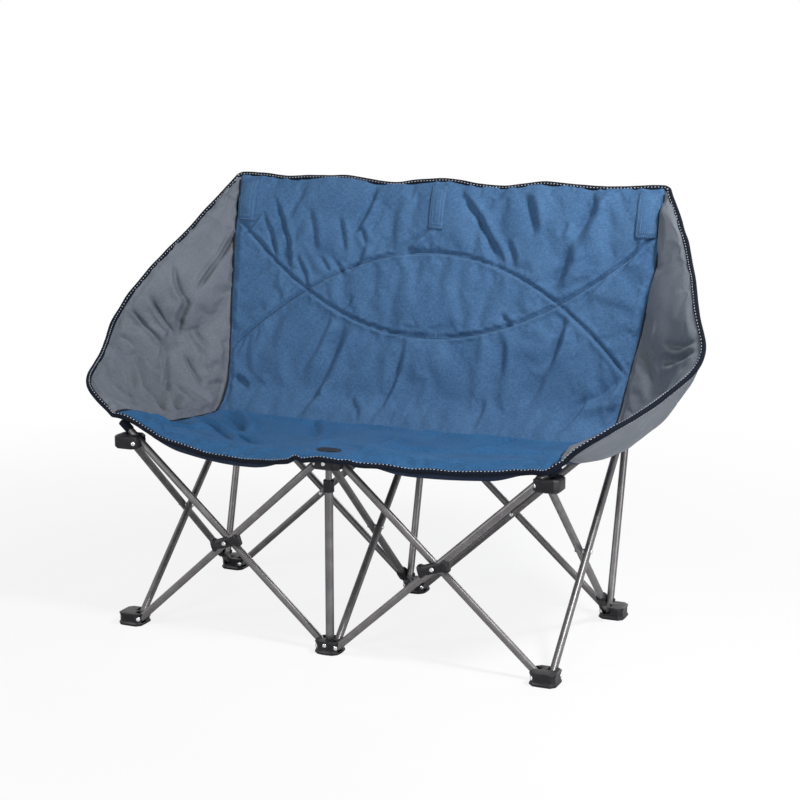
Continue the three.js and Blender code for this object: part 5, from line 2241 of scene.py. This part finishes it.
@dataclass
class Studio:
    """Pale floor, soft light and the photograph's camera, which is measured from the tub's front line."""

    tub: Tub
    camera_place: Vec3 = (1.584, -3.252, 1.274)
    azimuth: float = 23.63
    elevation: float = 11.45
    lens: float = 80.8
    sensor: float = 36.0
    floor_reach: float = 30.0
    floor_grey: Colour = (0.9, 0.9, 0.9)
    floor_white: float = 0.85
    floor_fade: Span = (0.9, 2.4)
    world_level: float = 0.1
    world_tint: Colour = (0.94, 0.97, 1.0)
    white: Colour = (1.0, 1.0, 1.0)
    lamps: tuple[Lamp, ...] = (
        Lamp("key", (1.6, -0.55, 2.3), 0.4, 50.0), Lamp("fill", (-1.6, -3.0, 1.6), 0.8, 44.0),
        Lamp("side", (2.6, -1.1, 0.5), 0.8, 20.0), Lamp("rear", (0.8, 3.0, 1.5), 1.0, 34.0))

    def build(self) -> None:
        """Everything around the object."""
        self._camera()
        self._floor()
        self._world()
        for lamp in self.lamps:
            lamp.build()
        bpy.context.scene.view_settings.view_transform = "Standard"

    def _camera(self) -> None:
        """The photograph's viewing angle and lens."""
        data = bpy.data.cameras.new("camera")
        data.sensor_width = self.sensor
        data.lens = self.lens
        camera = bpy.data.objects.new("camera", data)
        x, y, z = self.camera_place
        turn = Matrix.Rotation(math.radians(self.azimuth), 4, "Z")
        tilt = Matrix.Rotation(math.radians(90.0 - self.elevation), 4, "X")
        camera.matrix_world = Matrix.Translation((x, y + self.tub.front_y, z)) @ turn @ tilt
        bpy.context.scene.collection.objects.link(camera)
        bpy.context.scene.camera = camera

    def _floor(self) -> None:
        """A wide pale floor that keeps the object's shadow."""
        corners = [(-1.0, -1.0, 0.0), (1.0, -1.0, 0.0), (1.0, 1.0, 0.0), (-1.0, 1.0, 0.0)]
        floor = mesh_object("studio_floor", self.floor_reach * np.array(corners), [(0, 1, 2, 3)])
        shader = Shader.named("pale_floor")
        seen = shader.node("ShaderNodeLightPath", {}, {}, "Is Camera Ray")
        place = shader.node("ShaderNodeNewGeometry", {}, {}, "Position")
        away = shader.node("ShaderNodeVectorMath", {"operation": "LENGTH"}, {0: place}, "Value")
        near, far = self.floor_fade
        fade = shader.node("ShaderNodeMapRange", {}, {0: away, 1: near, 2: far, 3: self.floor_white, 4: 1.0})
        diffuse = shader.node("ShaderNodeBsdfDiffuse", {}, {"Color": (*self.floor_grey, 1.0)})
        glow = shader.node("ShaderNodeEmission", {}, {"Color": (*self.white, 1.0), "Strength": 1.0})
        both = shader.node("ShaderNodeMixShader", {}, {0: seen * fade, 1: diffuse, 2: glow})
        shader.node("ShaderNodeOutputMaterial", {}, {"Surface": both})
        floor.data.materials.append(shader.owner)

    def _world(self) -> None:
        """White where it is seen or mirrored, a plain level where it lights."""
        world = bpy.data.worlds.new("studio_world")
        bpy.context.scene.world = world
        shader = Shader(world)
        camera = shader.node("ShaderNodeLightPath", {}, {}, "Is Camera Ray")
        seen = camera.math("MAXIMUM", camera.part("Is Glossy Ray"))
        seen = seen.math("MAXIMUM", camera.part("Is Transmission Ray"))
        tint = (*self.world_tint, 1.0)
        light = shader.node("ShaderNodeBackground", {}, {"Color": tint, "Strength": self.world_level})
        white = shader.node("ShaderNodeBackground", {}, {"Color": (*self.white, 1.0), "Strength": 1.0})
        both = shader.node("ShaderNodeMixShader", {}, {0: seen, 1: light, 2: white})
        shader.node("ShaderNodeOutputWorld", {}, {"Surface": both})


def dress_cups_and_rivets(finishes: Finishes) -> None:
    """Finishes the webbing cups on the tube tips and the crossing rivets.

    Args:
        finishes: the seat's finishes.
    """
    for node, piece in sorted(frame["nodes"].items()):
        if node.startswith("corner_cup"):
            finishes.dress(piece, finishes.tape)
        elif "_rivet_" in node:
            finishes.dress(piece, finishes.rivet)


def main() -> None:
    """Builds and dresses every sub-assembly in order."""
    logging.basicConfig(level=logging.INFO, format="%(name)s: %(message)s")
    noise.seed_set(NOISE_SEED)
    tub = Tub.from_frame()
    finishes = Finishes()
    Studio(tub).build()
    tubes = Tubes(finishes)
    mouldings = Mouldings(finishes)
    tubes.build()
    mouldings.build()
    Rivets(tubes, mouldings, finishes).build()
    dress_cups_and_rivets(finishes)
    back = BackPanel(tub, finishes)
    back.build()
    back.sew_seams()
    PostPockets(tub, back, finishes).build()
    Seat(tub, finishes).build()
    arms = {side: Arm(tub, side, finishes) for side in Side}
    for arm in arms.values():
        arm.build()
    SeamCords(tub, finishes).build(arms)
    Binding(tub, finishes).build(arms)


if __name__ == "__main__":
    main()
